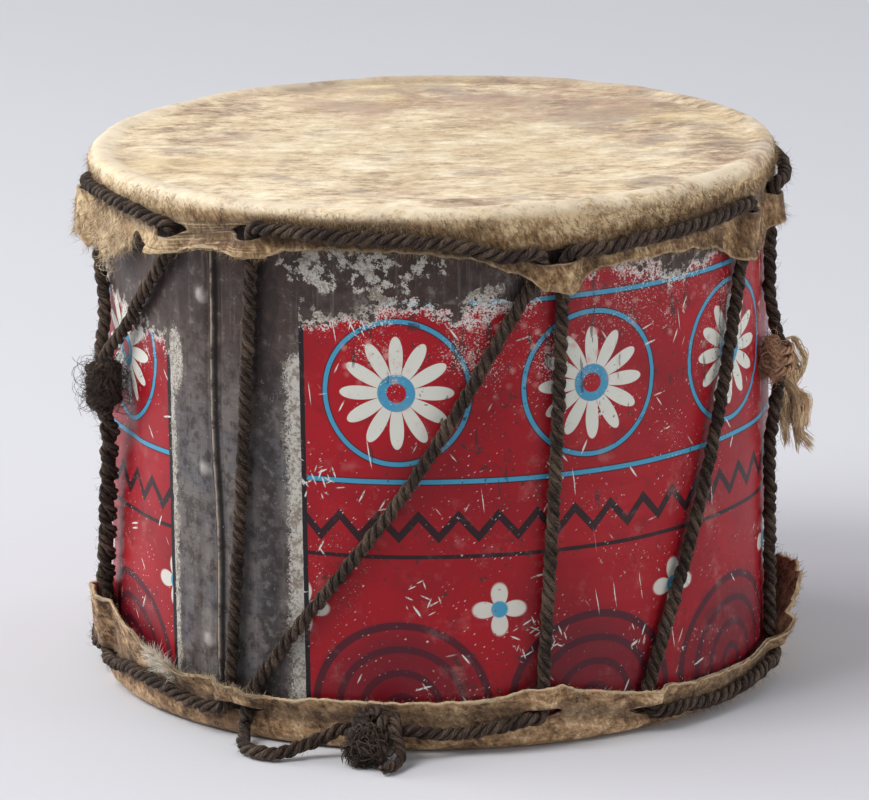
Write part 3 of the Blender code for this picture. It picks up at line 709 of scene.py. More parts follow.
def strand_parts(line, marks, width, lay, swell, seed):
    """Three strands laid round each other; each corner keeps its place along and round them."""
    _, normal, side = line_frames(line)
    thin = width / ROPE_WIDTH
    for strand in range(3):
        drift = 0.5 * np.sin(marks * 70 + seed) + 0.3 * np.sin(marks * 163 + seed * 2)
        turn = drift - 2 * math.pi * marks / lay + strand * 2 * math.pi / 3
        radial = np.cos(turn)[:, None] * normal + np.sin(turn)[:, None] * side
        uneven = (1 + 0.08 * np.sin(marks * 610 + strand * 2.1 + seed)
                  + 0.06 * np.sin(marks * 1490 + strand * 4.4))
        centre = line + radial * (thin * STRAND_OUT * swell * uneven)[:, None]
        across = np.cross(unit(np.gradient(centre, axis=0)), radial)
        around_it = np.arange(ROPE_SIDES) * 2 * math.pi / ROPE_SIDES
        ring = (np.cos(around_it)[None, :, None] * radial[:, None]
                + np.sin(around_it)[None, :, None] * across[:, None])
        yarn = around_it[None] + (marks * YARN_TWIST)[:, None]
        ridge = 1 + 0.07 * np.cos(3 * yarn)
        verts = centre[:, None] + ring * (thin * swell * uneven)[:, None, None] * ridge[..., None]
        lie = np.stack([np.broadcast_to(marks[:, None] * 1000, yarn.shape),
                        np.cos(yarn) + strand * 5, np.sin(yarn) + seed,
                        np.broadcast_to(np.cos(around_it)[None], yarn.shape)], axis=-1)
        verts = np.concatenate([verts.reshape(-1, 3), centre[:1], centre[-1:]])
        lie = np.concatenate([lie.reshape(-1, 4), lie[0, :1], lie[-1, :1]])
        j = np.arange(ROPE_SIDES)
        k = (j + 1) % ROPE_SIDES
        middle = np.full(ROPE_SIDES, len(line) * ROPE_SIDES)
        last = (len(line) - 1) * ROPE_SIDES
        tris = np.concatenate([np.stack([middle, k, j], axis=-1),
                               np.stack([middle + 1, last + j, last + k], axis=-1)])
        yield verts, grid_faces(len(line), ROPE_SIDES), tris, lie


def keep_lie(item, lie):
    """Keeps three numbers at each corner of a mesh, and a fourth as its crest, for materials."""
    kept = item.data.attributes.new("lie", "FLOAT_VECTOR", "POINT")
    kept.data.foreach_set("vector", lie[:, :3].astype(np.float32).ravel())
    if lie.shape[1] > 3:
        kept = item.data.attributes.new("crest", "FLOAT", "POINT")
        kept.data.foreach_set("value", lie[:, 3].astype(np.float32))


def rope(name, routes, width, lay, surface, slim=None, flare=0.0):
    """Three-strand cords, thinner where slim says so and splayed at their ends by flare."""
    parts = []
    for seed, route in enumerate(routes):
        line, marks = even(route, ROPE_STEP)
        swell = slim(line) if slim else np.ones(len(line))
        swell = swell * (1 + flare * (marks / marks[-1]) ** 3)
        parts += strand_parts(line, marks, width, lay, swell, seed * 1.7)
    verts, quads, tris, lie = joined(parts)
    item = mesh_of(name, verts, quads, tris, surface)
    keep_lie(item, lie)
    return item


def pressed_pair(line):
    """How slim the cord is at each place: pressed where it is twisted about its neighbour."""
    angle = np.degrees(np.arctan2(line[:, 0], -line[:, 1])) % 360
    beside = np.abs(angle - TIE_ANGLE - TWIST_LEAN / 2) < 9
    inside = np.minimum(line[:, 2] - PAIR_LOW + 0.004, TWIST_HIGH + 0.004 - line[:, 2]) / 0.008
    return 1 - (1 - PAIR_SLIM) * np.clip(inside, 0, 1) * beside


def fuzz_on(name, route, count, long, thick, surface, seed, lean=1.6):
    """Stray fibres that stand off the lacing cord or lie along it."""
    random = np.random.default_rng(seed)
    line, _ = even(route, 0.0008)
    tangent, normal, side = line_frames(line)
    pick = random.integers(1, len(line) - 1, count)
    turn = random.uniform(0, 2 * math.pi, count)
    radial = np.cos(turn)[:, None] * normal[pick] + np.sin(turn)[:, None] * side[pick]
    start = line[pick] + radial * CORD * 0.44
    slope = random.normal(0, lean, count)
    way = radial + tangent[pick] * slope[:, None] + random.normal(0, 0.35, (count, 3))
    return fibres(name, start, way, random, long, thick, surface, 0.5, 3)


def fibres(name, start, way, random, long, thick, surface, curl, points):
    """Curling fibres that grow from the given places in the given directions."""
    count = len(start)
    way = unit(way)
    length = long * random.uniform(0.35, 1.0, count)
    bend = random.normal(0, curl, (count, 3))
    lines = [start]
    for _ in range(points - 1):
        bend = bend + random.normal(0, curl * 0.5, (count, 3))
        way = unit(way + bend * (3.0 / points))
        lines.append(lines[-1] + way * (length / (points - 1))[:, None])
    lines = np.stack(lines, axis=1)
    lines[..., 2] = np.maximum(lines[..., 2], ON_FLOOR)
    return hairs(name, lines, thick * random.uniform(0.6, 1.2, count), surface)


# Materials


class Signal:
    """A value in a material's nodes, which plain arithmetic can work on."""

    def __init__(self, graph, socket):
        self.graph, self.socket = graph, socket

    def __add__(self, other):
        return self.graph.math("ADD", self, other)

    def __sub__(self, other):
        return self.graph.math("SUBTRACT", self, other)

    def __rsub__(self, other):
        return self.graph.math("SUBTRACT", other, self)

    def __mul__(self, other):
        return self.graph.math("MULTIPLY", self, other)

    def __truediv__(self, other):
        return self.graph.math("DIVIDE", self, other)

    def __pow__(self, other):
        return self.graph.math("POWER", self, other)

    def __abs__(self):
        return self.graph.math("ABSOLUTE", self)

    __radd__ = __add__
    __rmul__ = __mul__


def far(a, b):
    """The distance that two sideways distances make."""
    return (a ** 2 + b ** 2) ** 0.5


class Graph:
    """A material with its Principled shader and the places it can be worked out from."""

    def __init__(self, name):
        self.material = bpy.data.materials.new(name)
        self.material.use_nodes = True
        self.tree = self.material.node_tree
        self.shader = self.tree.nodes["Principled BSDF"]
        self.place = self.add("ShaderNodeTexCoord").outputs["Object"]
        parts = self.add("ShaderNodeSeparateXYZ", Vector=self.place)
        self.x, self.y, self.z = (Signal(self, parts.outputs[i]) for i in range(3))

    def add(self, kind, settings=(), **values):
        node = self.tree.nodes.new(kind)
        for name, value in dict(settings).items():
            setattr(node, name, value)
        for name, value in values.items():
            self.plug(node.inputs[name], value)
        return node

    def plug(self, socket, value):
        if isinstance(value, Signal):
            value = value.socket
        if isinstance(value, bpy.types.NodeSocket):
            self.tree.links.new(value, socket)
        else:
            socket.default_value = value

    def math(self, operation, *values):
        node = self.add("ShaderNodeMath", {"operation": operation})
        for socket, value in zip(node.inputs, values):
            self.plug(socket, value)
        return Signal(self, node.outputs[0])

    def high(self, *values):
        found = values[0]
        for value in values[1:]:
            found = self.math("MAXIMUM", found, value)
        return found

    def low(self, *values):
        found = values[0]
        for value in values[1:]:
            found = self.math("MINIMUM", found, value)
        return found

    def step(self, value, low, high):
        """0 below low and 1 above high, or the other way round, eased between."""
        node = self.add("ShaderNodeMapRange", {"interpolation_type": "SMOOTHSTEP"})
        for name, number in (("Value", value), ("From Min", low), ("From Max", high)):
            self.plug(node.inputs[name], number)
        return Signal(self, node.outputs[0])

    def off_middle(self, value):
        """How far a value is from the middle between the whole numbers round it."""
        return value - self.math("FLOOR", value) - 0.5

    def noise(self, scale, detail=4, roughness=0.55, place=None):
        node = self.add("ShaderNodeTexNoise", Vector=place or self.place, Scale=scale,
                        Detail=detail, Roughness=roughness)
        return Signal(self, node.outputs[0])

    def grain(self, stretch, detail=4, roughness=0.65, place=None):
        """Noise with its own scale along each axis."""
        node = self.add("ShaderNodeMapping", Vector=place or self.place)
        node.inputs["Scale"].default_value = stretch
        return self.noise(1.0, detail, roughness, node.outputs[0])

    def kept(self):
        """The three numbers that a mesh keeps at its corners under the name lie."""
        node = self.add("ShaderNodeAttribute", {"attribute_name": "lie"})
        parts = self.add("ShaderNodeSeparateXYZ", Vector=node.outputs["Vector"])
        return node.outputs["Vector"], [Signal(self, output) for output in parts.outputs]

    def crest(self):
        """1 along the outside of a rope's strands, and -1 inside, where they meet."""
        node = self.add("ShaderNodeAttribute", {"attribute_name": "crest"})
        return Signal(self, node.outputs["Fac"])

    def cells(self, scale, place=None):
        """Distance to the nearest of some scattered points, and that point's own number."""
        node = self.add("ShaderNodeTexVoronoi", Vector=place or self.place, Scale=scale)
        number = self.add("ShaderNodeSeparateColor", Color=node.outputs["Color"])
        return Signal(self, node.outputs["Distance"]), Signal(self, number.outputs[0])

    def ramp(self, value, *stops):
        node = self.add("ShaderNodeValToRGB", Fac=value)
        band = node.color_ramp
        while len(band.elements) < len(stops):
            band.elements.new(0.5)
        for element, (place, colour) in zip(band.elements, stops):
            element.position = place
            element.color = (*colour, 1.0)
        return node.outputs[0]

    def mix(self, share, first, second):
        node = self.add("ShaderNodeMix", {"data_type": "RGBA"})
        for i, value in ((0, share), (6, first), (7, second)):
            if i and isinstance(value, tuple):
                value = (*value, 1.0)
            self.plug(node.inputs[i], value)
        return node.outputs[2]

    def over(self, colour, *coats):
        """A colour with others laid over it in turn, each as (share, colour)."""
        for share, coat in coats:
            colour = self.mix(share, colour, coat)
        return colour

    def curve(self, value, points):
        """A value read off a line through the given (place, value) points, all 0 to 1."""
        node = self.add("ShaderNodeFloatCurve", Value=value)
        line = node.mapping.curves[0]
        line.points[0].location, line.points[-1].location = points[0], points[-1]
        for place, height in points[1:-1]:
            line.points.new(place, height)
        node.mapping.update()
        return Signal(self, node.outputs[0])

    def vector(self, x, y, z=0.0):
        return self.add("ShaderNodeCombineXYZ", X=x, Y=y, Z=z).outputs[0]

    def bump(self, height, strength, distance):
        node = self.add("ShaderNodeBump", Strength=strength, Distance=distance, Height=height)
        self.plug(self.shader.inputs["Normal"], node.outputs[0])

    def surface(self, **values):
        names = {"colour": "Base Color", "roughness": "Roughness", "metal": "Metallic",
                 "sheen": "Sheen Weight", "gloss": "Specular IOR Level"}
        for name, value in values.items():
            if name == "colour" and isinstance(value, tuple):
                value = (*value, 1.0)
            self.plug(self.shader.inputs[names[name]], value)
        return self.material


PAINT_RED = (0.34, 0.0040, 0.011)
PAINT_DEEP = (0.235, 0.0040, 0.010)
PAINT_DARK = (0.075, 0.006, 0.010)
PRINT_BLUE = (0.055, 0.27, 0.43)
PRINT_WHITE = (0.62, 0.62, 0.55)
PRINT_BLACK = (0.010, 0.007, 0.010)
PRIMER = (0.66, 0.65, 0.60)

# The printed field runs from one edge of the bare band to the other, in ten equal panels
BAND_FROM, BAND_TO = -51.5, -23.5
PANELS = 10
PANEL = (360 - (BAND_TO - BAND_FROM)) / PANELS
PANEL_WIDTH = PANEL * DEGREE * 1000
# Height in millimetres where the paint has worn off, by angle
WORN_LINE = (
    (-180, 104), (-150, 108), (-115, 100), (-85, 96), (-65, 90), (-52, 88), (-23, 97),
    (-12, 99), (-3, 101), (10, 103), (24, 108), (36, 107), (44, 103), (50, 104), (56, 110),
    (75, 109), (110, 104), (140, 110), (180, 104),
)

# Heights in millimetres of the print's rows
ROSETTES, STRIPES, CHEVRONS, CHEVRON_BASE = 82.0, (61.8, 102.2), 49.0, 44.6
FLOWERS, SCALLOPS = 32.0, 9.0

# Scratches: direction in radians, density, seed, and how closely they lie along and across it
SCRATCHES = ((1.1, 0.040, 3.0), (2.2, 0.032, 11.0), (0.2, 0.022, 23.0),
             (1.7, 0.030, 37.0, 0.07, 1.6))
CROSSINGS = tuple((turn, 0.60, seed, 0.17, 1.15)
                  for turn, seed in ((0.5, 61.0), (1.2, 67.0), (1.9, 71.0), (2.7, 79.0)))
FLECKS = (0.7, 0.16, 51.0, 0.8, 2.4)
# Where many scratches cross: angle, height and reach in millimetres
BURSTS = ((-21, 62, 7.5), (16.5, 25, 9.0), (35, 22, 5.0), (29, 77, 5.0), (-3, 35, 6.0),
          (-12, 96, 6.0), (205, 40, 8.0), (120, 70, 7.0))

# Heights in millimetres of the dimples that are pressed into the tin beside its seam
SEAM_DIMPLES = (20.4, 60.4, 100.3)
# How far the seam wavers sideways in millimetres, and how fast in radians per millimetre
SEAM_SWAY, SEAM_WAVE = 0.4, 0.105


def strokes(graph, across, up, turn, density, seed, long=0.13, wide=0.95):
    """Short thin scratches that all run about one way."""
    lean, rise = math.cos(turn), math.sin(turn)
    bend = graph.noise(55, 2) * 3.0
    along = across * lean + up * rise + bend
    side = up * lean - across * rise + bend * 0.7
    near, number = graph.cells(1.0, graph.vector(along * long + seed, side * wide, seed))
    chosen = graph.step(number, 1 - density, 1 - density + 0.004)
    return chosen * graph.step(near, 0.26, 0.16)


def design(graph, across, high, red):
    """The print: rosettes in rings, stripes, a row of chevrons, nested scallops and flowers."""
    share = across / PANEL
    off_centre = graph.off_middle(share) * PANEL_WIDTH
    up = high - ROSETTES
    reach = far(off_centre, up)
    petal = abs(graph.math("COSINE", graph.math("ARCTAN2", up, off_centre) * 6))
    leaf = graph.step(reach - (petal ** 0.7) * 9.6 - 3.2, 0.12, -0.12)
    heart = graph.step(reach, 4.35, 4.1)
    stripes = graph.low(*(abs(high - row) for row in STRIPES), abs(reach - 16.2))
    wave = abs(graph.off_middle(share * 5)) * 2
    chevron = graph.high(
        graph.step(abs(high - CHEVRONS - wave * 5.0), 1.35, 1.15),
        graph.step(abs(high - CHEVRON_BASE), 0.55, 0.4),
    )
    dome = far(off_centre, high - SCALLOPS)
    scallop = graph.step(graph.math("SINE", (dome - 2.0) * 1.15), 0.15, 0.75) * graph.step(
        dome, 21.5, 20.5)
    shade = graph.step(dome, 24.0, 14.0) * 0.5
    between, flower_up = abs(off_centre) - PANEL_WIDTH / 2, high - FLOWERS
    flower_reach = far(between, flower_up)
    flower_turn = graph.math("ARCTAN2", flower_up, between)
    flower = graph.step(
        flower_reach - abs(graph.math("COSINE", flower_turn * 2)) * 4.6 - 1.4, 0.5, -0.3)
    return graph.over(
        red,
        (graph.high(scallop * 0.85, shade), (0.030, 0.008, 0.016)),
        (chevron * 0.95, PRINT_BLACK),
        (graph.step(stripes, 0.86, 0.72) * 0.85, PRINT_BLACK),
        (graph.high(graph.step(stripes, 0.58, 0.46), heart), PRINT_BLUE),
        (graph.step(reach, 2.3, 2.1), red),
        (graph.high(graph.low(leaf, 1 - heart), flower * 0.9), PRINT_WHITE),
        (graph.step(flower_reach, 2.1, 1.7), PRINT_BLUE),
    )


def bare_metal(graph, angle, high, medium):
    """Tin with no print, its brushed streaks, and how thickly undercoat still lies on it."""
    streak = graph.grain((1000, 1000, 34))
    level = graph.grain((70, 70, 1300))
    wide = graph.grain((150, 150, 22), 4, 0.6)
    cloudy, mottled = graph.noise(48, 6, 0.66), graph.noise(260, 6, 0.72)
    upward = graph.step(high + (cloudy - 0.5) * 70, 60.0, 100.0)
    blue = graph.step(cloudy, 0.45, 0.60) * (1 - upward * 0.75)

    # The seam: a pale ridge between dark lines, and pale bumps on its left. The dark lines are
    # painted shadow beside the ridge; the pale line and the bumps are painted highlight with some
    # rubbed wear
    away = (angle - LOCK_SEAM_ANGLE - 0.3 + high * 0.005) * MM_PER_DEGREE
    away = away + graph.math("SINE", high * SEAM_WAVE) * SEAM_SWAY
    beside = graph.low(abs(away + 0.95), abs(away - 0.85))
    seam_highlight_and_wear = graph.step(abs(away), 0.36, 0.12) * graph.step(mottled, 0.62, 0.44)
    dimple_highlights_and_wear = [far(away + 3.4, high - place) + (medium - 0.5) * 2 for place in SEAM_DIMPLES]

    right = (angle * -1 + BAND_TO) * MM_PER_DEGREE
    left = (angle - BAND_FROM) * MM_PER_DEGREE
    # Painted shade from the cord that runs down past the print's right edge, with some of the
    # tin's own darker tone there
    painted_cord_shade_and_dark_tin = graph.step(abs(right - 8.5), 4.5, 1.0) * graph.step(medium, 0.36, 0.54)
    tin = graph.over(
        (0.158, 0.138, 0.128),
        (upward, (0.064, 0.040, 0.033)),
        (blue * 0.6, (0.090, 0.094, 0.112)),
        (graph.step(wide, 0.48, 0.64) * 0.55, (0.056, 0.040, 0.034)),
        (graph.step(mottled, 0.49, 0.60) * 0.7, (0.036, 0.025, 0.021)),
        (graph.step(mottled, 0.45, 0.35) * 0.5, (0.23, 0.205, 0.185)),
        (graph.step(streak, 0.52, 0.70) * 0.18, (0.30, 0.28, 0.26)),
        (graph.step(level, 0.50, 0.68) * 0.28, (0.040, 0.034, 0.033)),
        # Painted shadow: dark lines on either side of the seam's ridge
        (graph.step(beside, 0.65, 0.1) * 0.85, (0.014, 0.010, 0.009)),
        # Painted highlight, with some rubbed wear: the pale line along the ridge and pale spots on
        # the dimples
        (seam_highlight_and_wear * 0.8, (0.40, 0.31, 0.22)),
        *((graph.step(bump, 2.4, 0.5) * 0.7, (0.42, 0.39, 0.35)) for bump in dimple_highlights_and_wear),
        # Painted shade beside the cord, partly the tin's darker tone
        (painted_cord_shade_and_dark_tin * 0.75, (0.030, 0.025, 0.026)),
    )

    # Rests of the white undercoat, thick beside the print and in two ovals, thin elsewhere
    low_down = graph.step(high + (medium - 0.5) * 12, 93.0, 86.0)
    broken = (graph.noise(130, 5, 0.66) - 0.5) * 9 + (medium - 0.5) * 3.0
    upper = ((angle + 14) / 11.5) ** 2 + ((high - 109.8) / 5.4) ** 2 + broken
    slim = ((angle + 50) / 2.2) ** 2 + ((high - 84.0) / 8.5) ** 2 + (medium - 0.5) * 2.0
    thick = graph.high(
        graph.step(right, 6.2, 0.3) * low_down,
        graph.step(left, 3.2, 0.2) * low_down * 0.75,
        graph.step(upper, 1.3, 0.3) * 0.75,
        graph.step(slim, 1.4, 0.3) * 0.7,
    )
    return tin, streak, thick


def can_paint():
    """The tin's wall: what is left of its print, with its wear, and bare metal beyond it."""
    graph = Graph("worn_printed_tin")
    angle = graph.math("ARCTAN2", graph.x, graph.y * -1) * math.degrees(1)
    high, wide = graph.z * 1000, angle * MM_PER_DEGREE
    coarse, medium = graph.noise(90, 5), graph.noise(420, 6, 0.65)
    fine, grain = graph.noise(1500, 4, 0.6), graph.noise(2300, 3, 0.7)
    patches = graph.noise(65, 3)

    # Where print is left
    line = graph.curve((angle + 180) / 360, [((a + 180) / 360, h / 125) for a, h in WORN_LINE])
    left = line * 125 - high + (coarse - 0.5) * 22 + (medium - 0.5) * 9 + (fine - 0.5) * 3
    across = graph.math("FLOORED_MODULO", angle - BAND_TO, 360.0)
    field = across - PANEL * PANELS
    ragged = (medium - 0.5) * 0.8
    printed = graph.step(graph.high(field + ragged, (across * -1) + ragged * 0.5), 0.06, -0.06)
    paint = printed * graph.step(left, -0.1, 0.2)
    red = graph.over(
        PAINT_RED,
        (graph.step(graph.noise(28, 4), 0.35, 0.7), PAINT_DEEP),
        (graph.step(graph.noise(160, 5), 0.56, 0.75) * 0.4, PAINT_DARK),
    )
    border = graph.high(graph.step(across, 0.95, 0.85), graph.step(field, -0.95, -0.85))

    # Wear: dark stains and drips, pale scuffs, and scratches and chips down to the undercoat
    upper = graph.step(high + (patches - 0.5) * 30, 74.0, 98.0)
    fringe = graph.step(left, 4.0, 0.3)
    drip = graph.grain((430, 430, 70), 4, 0.6) + (patches - 0.5) * 0.3
    stain = graph.high(graph.step(drip + upper * 0.06, 0.66, 0.72),
                       graph.step(graph.noise(230, 5, 0.6) + upper * 0.05, 0.68, 0.74))
    near, number = graph.cells(360)
    scuff = graph.step(near, 0.42, 0.08) * graph.step(number, 0.45, 0.5) * upper
    scuff = graph.high(scuff * graph.step(patches, 0.38, 0.52) * 0.75,
                       graph.step(graph.noise(120, 6, 0.7), 0.54, 0.76) * 0.26)
    scratch, crossing = (
        graph.high(*(strokes(graph, wide, high, *kind) for kind in kinds))
        for kinds in (SCRATCHES, CROSSINGS))
    burst = graph.high(*(
        graph.step(far(wide - place * DEGREE * 1000, high - tall), reach, reach * 0.3)
        for place, tall, reach in BURSTS))
    scratch = graph.high(scratch, crossing * graph.step(burst + (medium - 0.5) * 0.9, 0.35, 0.5))
    fleck = strokes(graph, wide, high, *FLECKS) * graph.step(patches, 0.42, 0.58)
    speckle = graph.step(grain + (patches - 0.5) * 0.5 + upper * 0.11 + fringe * 0.2, 0.732, 0.758)
    chip = graph.step(medium + (coarse - 0.5) * 0.35 + fringe * 0.08, 0.715, 0.73)
    white = graph.high(scratch * graph.step(medium, 0.34, 0.42), fleck, speckle * 0.8, chip * 0.85)
    rust = graph.step(graph.noise(700, 3) + (graph.noise(40, 2) - 0.5) * 0.4, 0.665, 0.71)
    colour = graph.over(
        design(graph, across, high, red),
        (border, PRINT_BLACK),
        (stain * 0.75, (0.030, 0.020, 0.020)),
        (scuff, (0.56, 0.28, 0.25)),
        (white, graph.mix(graph.step(fine, 0.50, 0.66), PRIMER, (0.20, 0.18, 0.165))),
        (rust * 0.8, (0.040, 0.024, 0.018)),
    )

    # Bare metal, with pale rests of undercoat where it lay thick
    tin, streak, thick = bare_metal(graph, angle, high, medium)
    beyond = graph.step(left + (medium - 0.5) * 8, -4.5, -0.4) * printed
    beyond = beyond * graph.step(graph.noise(120, 4, 0.6), 0.42, 0.55) * 0.70
    thick = thick * (1 - printed) + thick * printed * graph.step(high, 103.0, 105.0)
    thick = graph.high(thick, beyond)
    pale = graph.step(grain * 0.45 + medium * 0.55 + thick * 0.30, 0.615, 0.66)
    rest = graph.mix(graph.step(medium * 0.5 + fine * 0.5, 0.45, 0.59), (0.50, 0.475, 0.42),
                     (0.22, 0.18, 0.145))
    tin = graph.mix(pale * 0.92, tin, rest)

    bare = (1 - paint) * (1 - pale)
    roughness = (paint * (graph.noise(210, 4) * 0.25 + 0.25 + white * 0.25)
                 + (1 - paint) * (graph.step(streak, 0.2, 0.8) * 0.2 + 0.38 + pale * 0.25))
    height = paint * 0.9 - paint * white * 0.7 + fine * 0.12 + streak * (1 - paint) * 0.25
    graph.bump(height, 0.5, 0.00012)
    return graph.surface(colour=graph.mix(paint, tin, colour), roughness=roughness,
                         metal=bare * 0.35, gloss=0.24)


# The colours of each skirt, from its dark roots to its pale hair
SKIRT_TONES = {
    TOP: ((0.41, (0.046, 0.023, 0.011)), (0.47, (0.180, 0.096, 0.042)),
          (0.53, (0.35, 0.215, 0.100)), (0.62, (0.68, 0.51, 0.30))),
    BOTTOM: ((0.41, (0.060, 0.032, 0.017)), (0.47, (0.24, 0.135, 0.066)),
             (0.54, (0.46, 0.285, 0.150)), (0.62, (0.76, 0.58, 0.36))),
}


def hide(name, end):
    """Rawhide: a mottled streaky face, turning to short-haired brown down the skirt."""
    graph = Graph(name)
    _, (edge, off_line, lip) = graph.kept()
    depth = (DRUM_HEIGHT - graph.z if end == TOP else graph.z) * 1000
    radius = far(graph.x, graph.y) * 1000
    broad = graph.grain((18, 24, 24), 3, 0.5)
    mottle = graph.grain((72, 86, 86), 8, 0.76)
    streak = graph.grain((120, 345, 245), 6, 0.70)
    thread = graph.grain((430, 1250, 900), 4, 0.7)
    # The face is darker towards the back: partly painted shade, partly the hide's darker blotches
    # there
    back = graph.step(graph.y + graph.x * 0.55, -0.015, 0.075)
    # Painted light and shade: the face is brighter in its middle and darker at its left and right
    middle, sides = graph.step(radius, 56.0, 24.0), graph.step(abs(graph.x), 0.038, 0.060)
    smudge = graph.grain((42, 56, 56), 7, 0.72) + back * 0.07 - middle * 0.03
    blush = graph.grain((27, 36, 36), 6, 0.66) + back * 0.11
    far_rim = graph.step(graph.y, 0.050, 0.072) * graph.step(radius, 68.5, 74.5)
    pits = graph.step(graph.noise(1300, 2), 0.69, 0.75)
    # A pale band round the rim: partly painted highlight on its rounded edge, partly the paler
    # hide and hair there; weaker at the back
    crest = graph.step(radius, 72.3, 75.4) * graph.step(graph.noise(150, 5, 0.7), 0.36, 0.54)
    # Painted shade towards the back and at the sides, painted light in the middle
    shade = mottle * 0.51 + streak * 0.27 + thread * 0.22 - back * 0.032
    shade = shade + middle * 0.016 - sides * 0.022
    face = graph.over(
        graph.ramp(shade, (0.39, (0.20, 0.120, 0.070)), (0.445, (0.46, 0.325, 0.195)),
                   (0.50, (0.73, 0.575, 0.365)), (0.58, (0.91, 0.80, 0.585))),
        (graph.step(broad, 0.48, 0.66) * 0.45, (0.72, 0.54, 0.27)),
        (graph.step(smudge, 0.52, 0.66) * 0.6, (0.30, 0.225, 0.185)),
        (graph.step(blush, 0.55, 0.70) * 0.55, (0.43, 0.255, 0.17)),
        (far_rim * graph.step(mottle, 0.36, 0.52) * 0.6, (0.25, 0.165, 0.11)),
        (pits * 0.65, (0.13, 0.08, 0.05)),
        # Pale rim band, partly painted highlight
        (crest * (1 - back * 0.6) * 0.75, (0.78, 0.66, 0.48)),
    )

    # The skirt: hair laid down it, a darker band along the cord's line, and a pale cut edge
    sway = graph.vector(graph.x + graph.z * 0.45, graph.y - graph.z * 0.2, graph.z)
    tuft = graph.grain((900, 900, 330), 6, 0.74, sway)
    blotch, spots = graph.noise(150, 7, 0.72), graph.noise(52, 5, 0.62)
    if end == TOP:
        tone = tuft * 0.5 + blotch * 0.5
        tone = tone + graph.step(graph.x, -0.050, -0.072) * 0.085
        high_up = graph.step(off_line, -3.2, -6.5) * 0.10
        down = graph.step(depth + (blotch - 0.5) * 4 + (tuft - 0.5) * 3, 0.9, 3.4)
        relief, pale_edge = tuft, 0.5
    else:
        lying = graph.grain((300, 300, 620), 6, 0.74, sway)
        tone = lying * 0.45 + tuft * 0.30 + blotch * 0.40 - 0.075
        tone = tone - graph.step(graph.x, -0.015, -0.055) * 0.03
        high_up = graph.step(off_line, -1.5, -4.0) * 0.02
        down = graph.step(depth, -1.0, 0.6)
        relief, pale_edge = lying * 0.6 + tuft * 0.3, 0.75
    beside = graph.step(abs(off_line + (blotch - 0.5) * 3), 3.4, 0.6)
    cut = graph.step(edge + (blotch - 0.5) * 2.6, 0.75, 0.15)
    skirt = graph.over(
        graph.ramp(tone + high_up + lip * 0.02, *SKIRT_TONES[end]),
        (beside * 0.55, (0.060, 0.040, 0.028)),
        (graph.step(spots, 0.54, 0.70) * 0.55, (0.080, 0.046, 0.028)),
        (cut * pale_edge, (0.64, 0.49, 0.31)),
    )

    # The folds that run along the curled lip between the first two mouths, with painted shade in
    # their hollows and painted highlight on their ridges over the leather's own streaks
    grain = graph.noise(1.0, 5, 0.62, graph.vector(graph.x * 75, off_line * 1.9))
    fold = (grain - 0.5) * 4 * lip * graph.step(off_line, -3.2, -1.8)
    colour = graph.over(
        face,
        (down, skirt),
        # Painted shade in the folds' hollows
        (graph.step(fold, 0.0, -0.42) * 0.85, (0.12, 0.070, 0.040)),
        # Painted highlight on the folds' ridges
        (graph.step(fold, 0.1, 0.55) * 0.55, (0.76, 0.58, 0.38)),
    )
    graph.bump(streak * 0.22 + thread * 0.26 + fold * 0.55 + relief * down * 0.9, 0.8, 0.0006)
    return graph.surface(colour=colour, roughness=down * 0.2 + 0.5, gloss=0.25, sheen=0.05)


def fibre(name, dark, light, scale, sheen=0.15, own=0.0):
    """Loose fibre, varied along its length; own is the share of each fibre's own tone in it."""
    graph = Graph(name)
    shade = graph.noise(scale, 4, 0.65) * 0.65 + graph.noise(scale / 9, 3) * 0.35
    if own:
        _, (tone, _, _) = graph.kept()
        shade = shade * (1 - own) + tone * own
    middle = tuple((a + b) / 2 for a, b in zip(dark, light))
    colour = graph.ramp(shade, (0.30, dark), (0.52, middle), (0.72, light))
    graph.bump(graph.noise(scale * 3, 3), 0.5, 0.0002)
    return graph.surface(colour=colour, roughness=0.85, sheen=sheen, gloss=0.2)


def twisted(name, dark, middle, light):
    """Coarse hairy cord: dark yarns with paler fibres that run along them."""
    graph = Graph(name)
    lie, _ = graph.kept()
    yarn = graph.grain((0.4, 3.0, 3.0), 3, 0.6, lie)
    hair = graph.grain((1.0, 8.0, 8.0), 3, 0.7, lie)
    shade = yarn * 0.4 + hair * 0.6 + (graph.noise(140, 3) - 0.5) * 0.3
    # Painted highlight along the strands' crests, and painted shade where they meet
    shade = shade + (graph.crest() - 0.35) * 0.06
    colour = graph.ramp(shade, (0.37, dark), (0.51, middle), (0.63, light))
    graph.bump(yarn * 0.5 + hair * 0.5, 0.9, 0.0004)
    return graph.surface(colour=colour, roughness=0.78, sheen=0.04, gloss=0.18)


def plain_tin():
    graph = Graph("tarnished_tin")
    tone = graph.noise(180, 5, 0.6)
    colour = graph.ramp(tone, (0.3, (0.07, 0.05, 0.04)), (0.7, (0.22, 0.20, 0.18)))
    graph.bump(graph.noise(900, 3), 0.3, 0.0001)
    return graph.surface(colour=colour, roughness=graph.noise(300, 3) * 0.3 + 0.35, metal=0.8)


# The tin

# Dents in the wall: angle, then height, half width, half height and depth in millimetres
DENTS = (
    (-71, 70, 9, 14, 1.3), (-66, 52, 5, 16, 0.7), (12, 30, 16, 14, 0.35), (52, 66, 18, 22, 0.4),
    (118, 40, 14, 20, 0.9), (165, 85, 20, 12, 0.8), (221, 50, 16, 24, 0.7),
    (-15, 108, 14, 8, 0.4),
)
# What the wall's mesh leaves free at either end, and how far it reaches inwards
WALL_MARGIN, WALL_INWARD = 0.0006, 0.0016
WALL_RINGS = 110


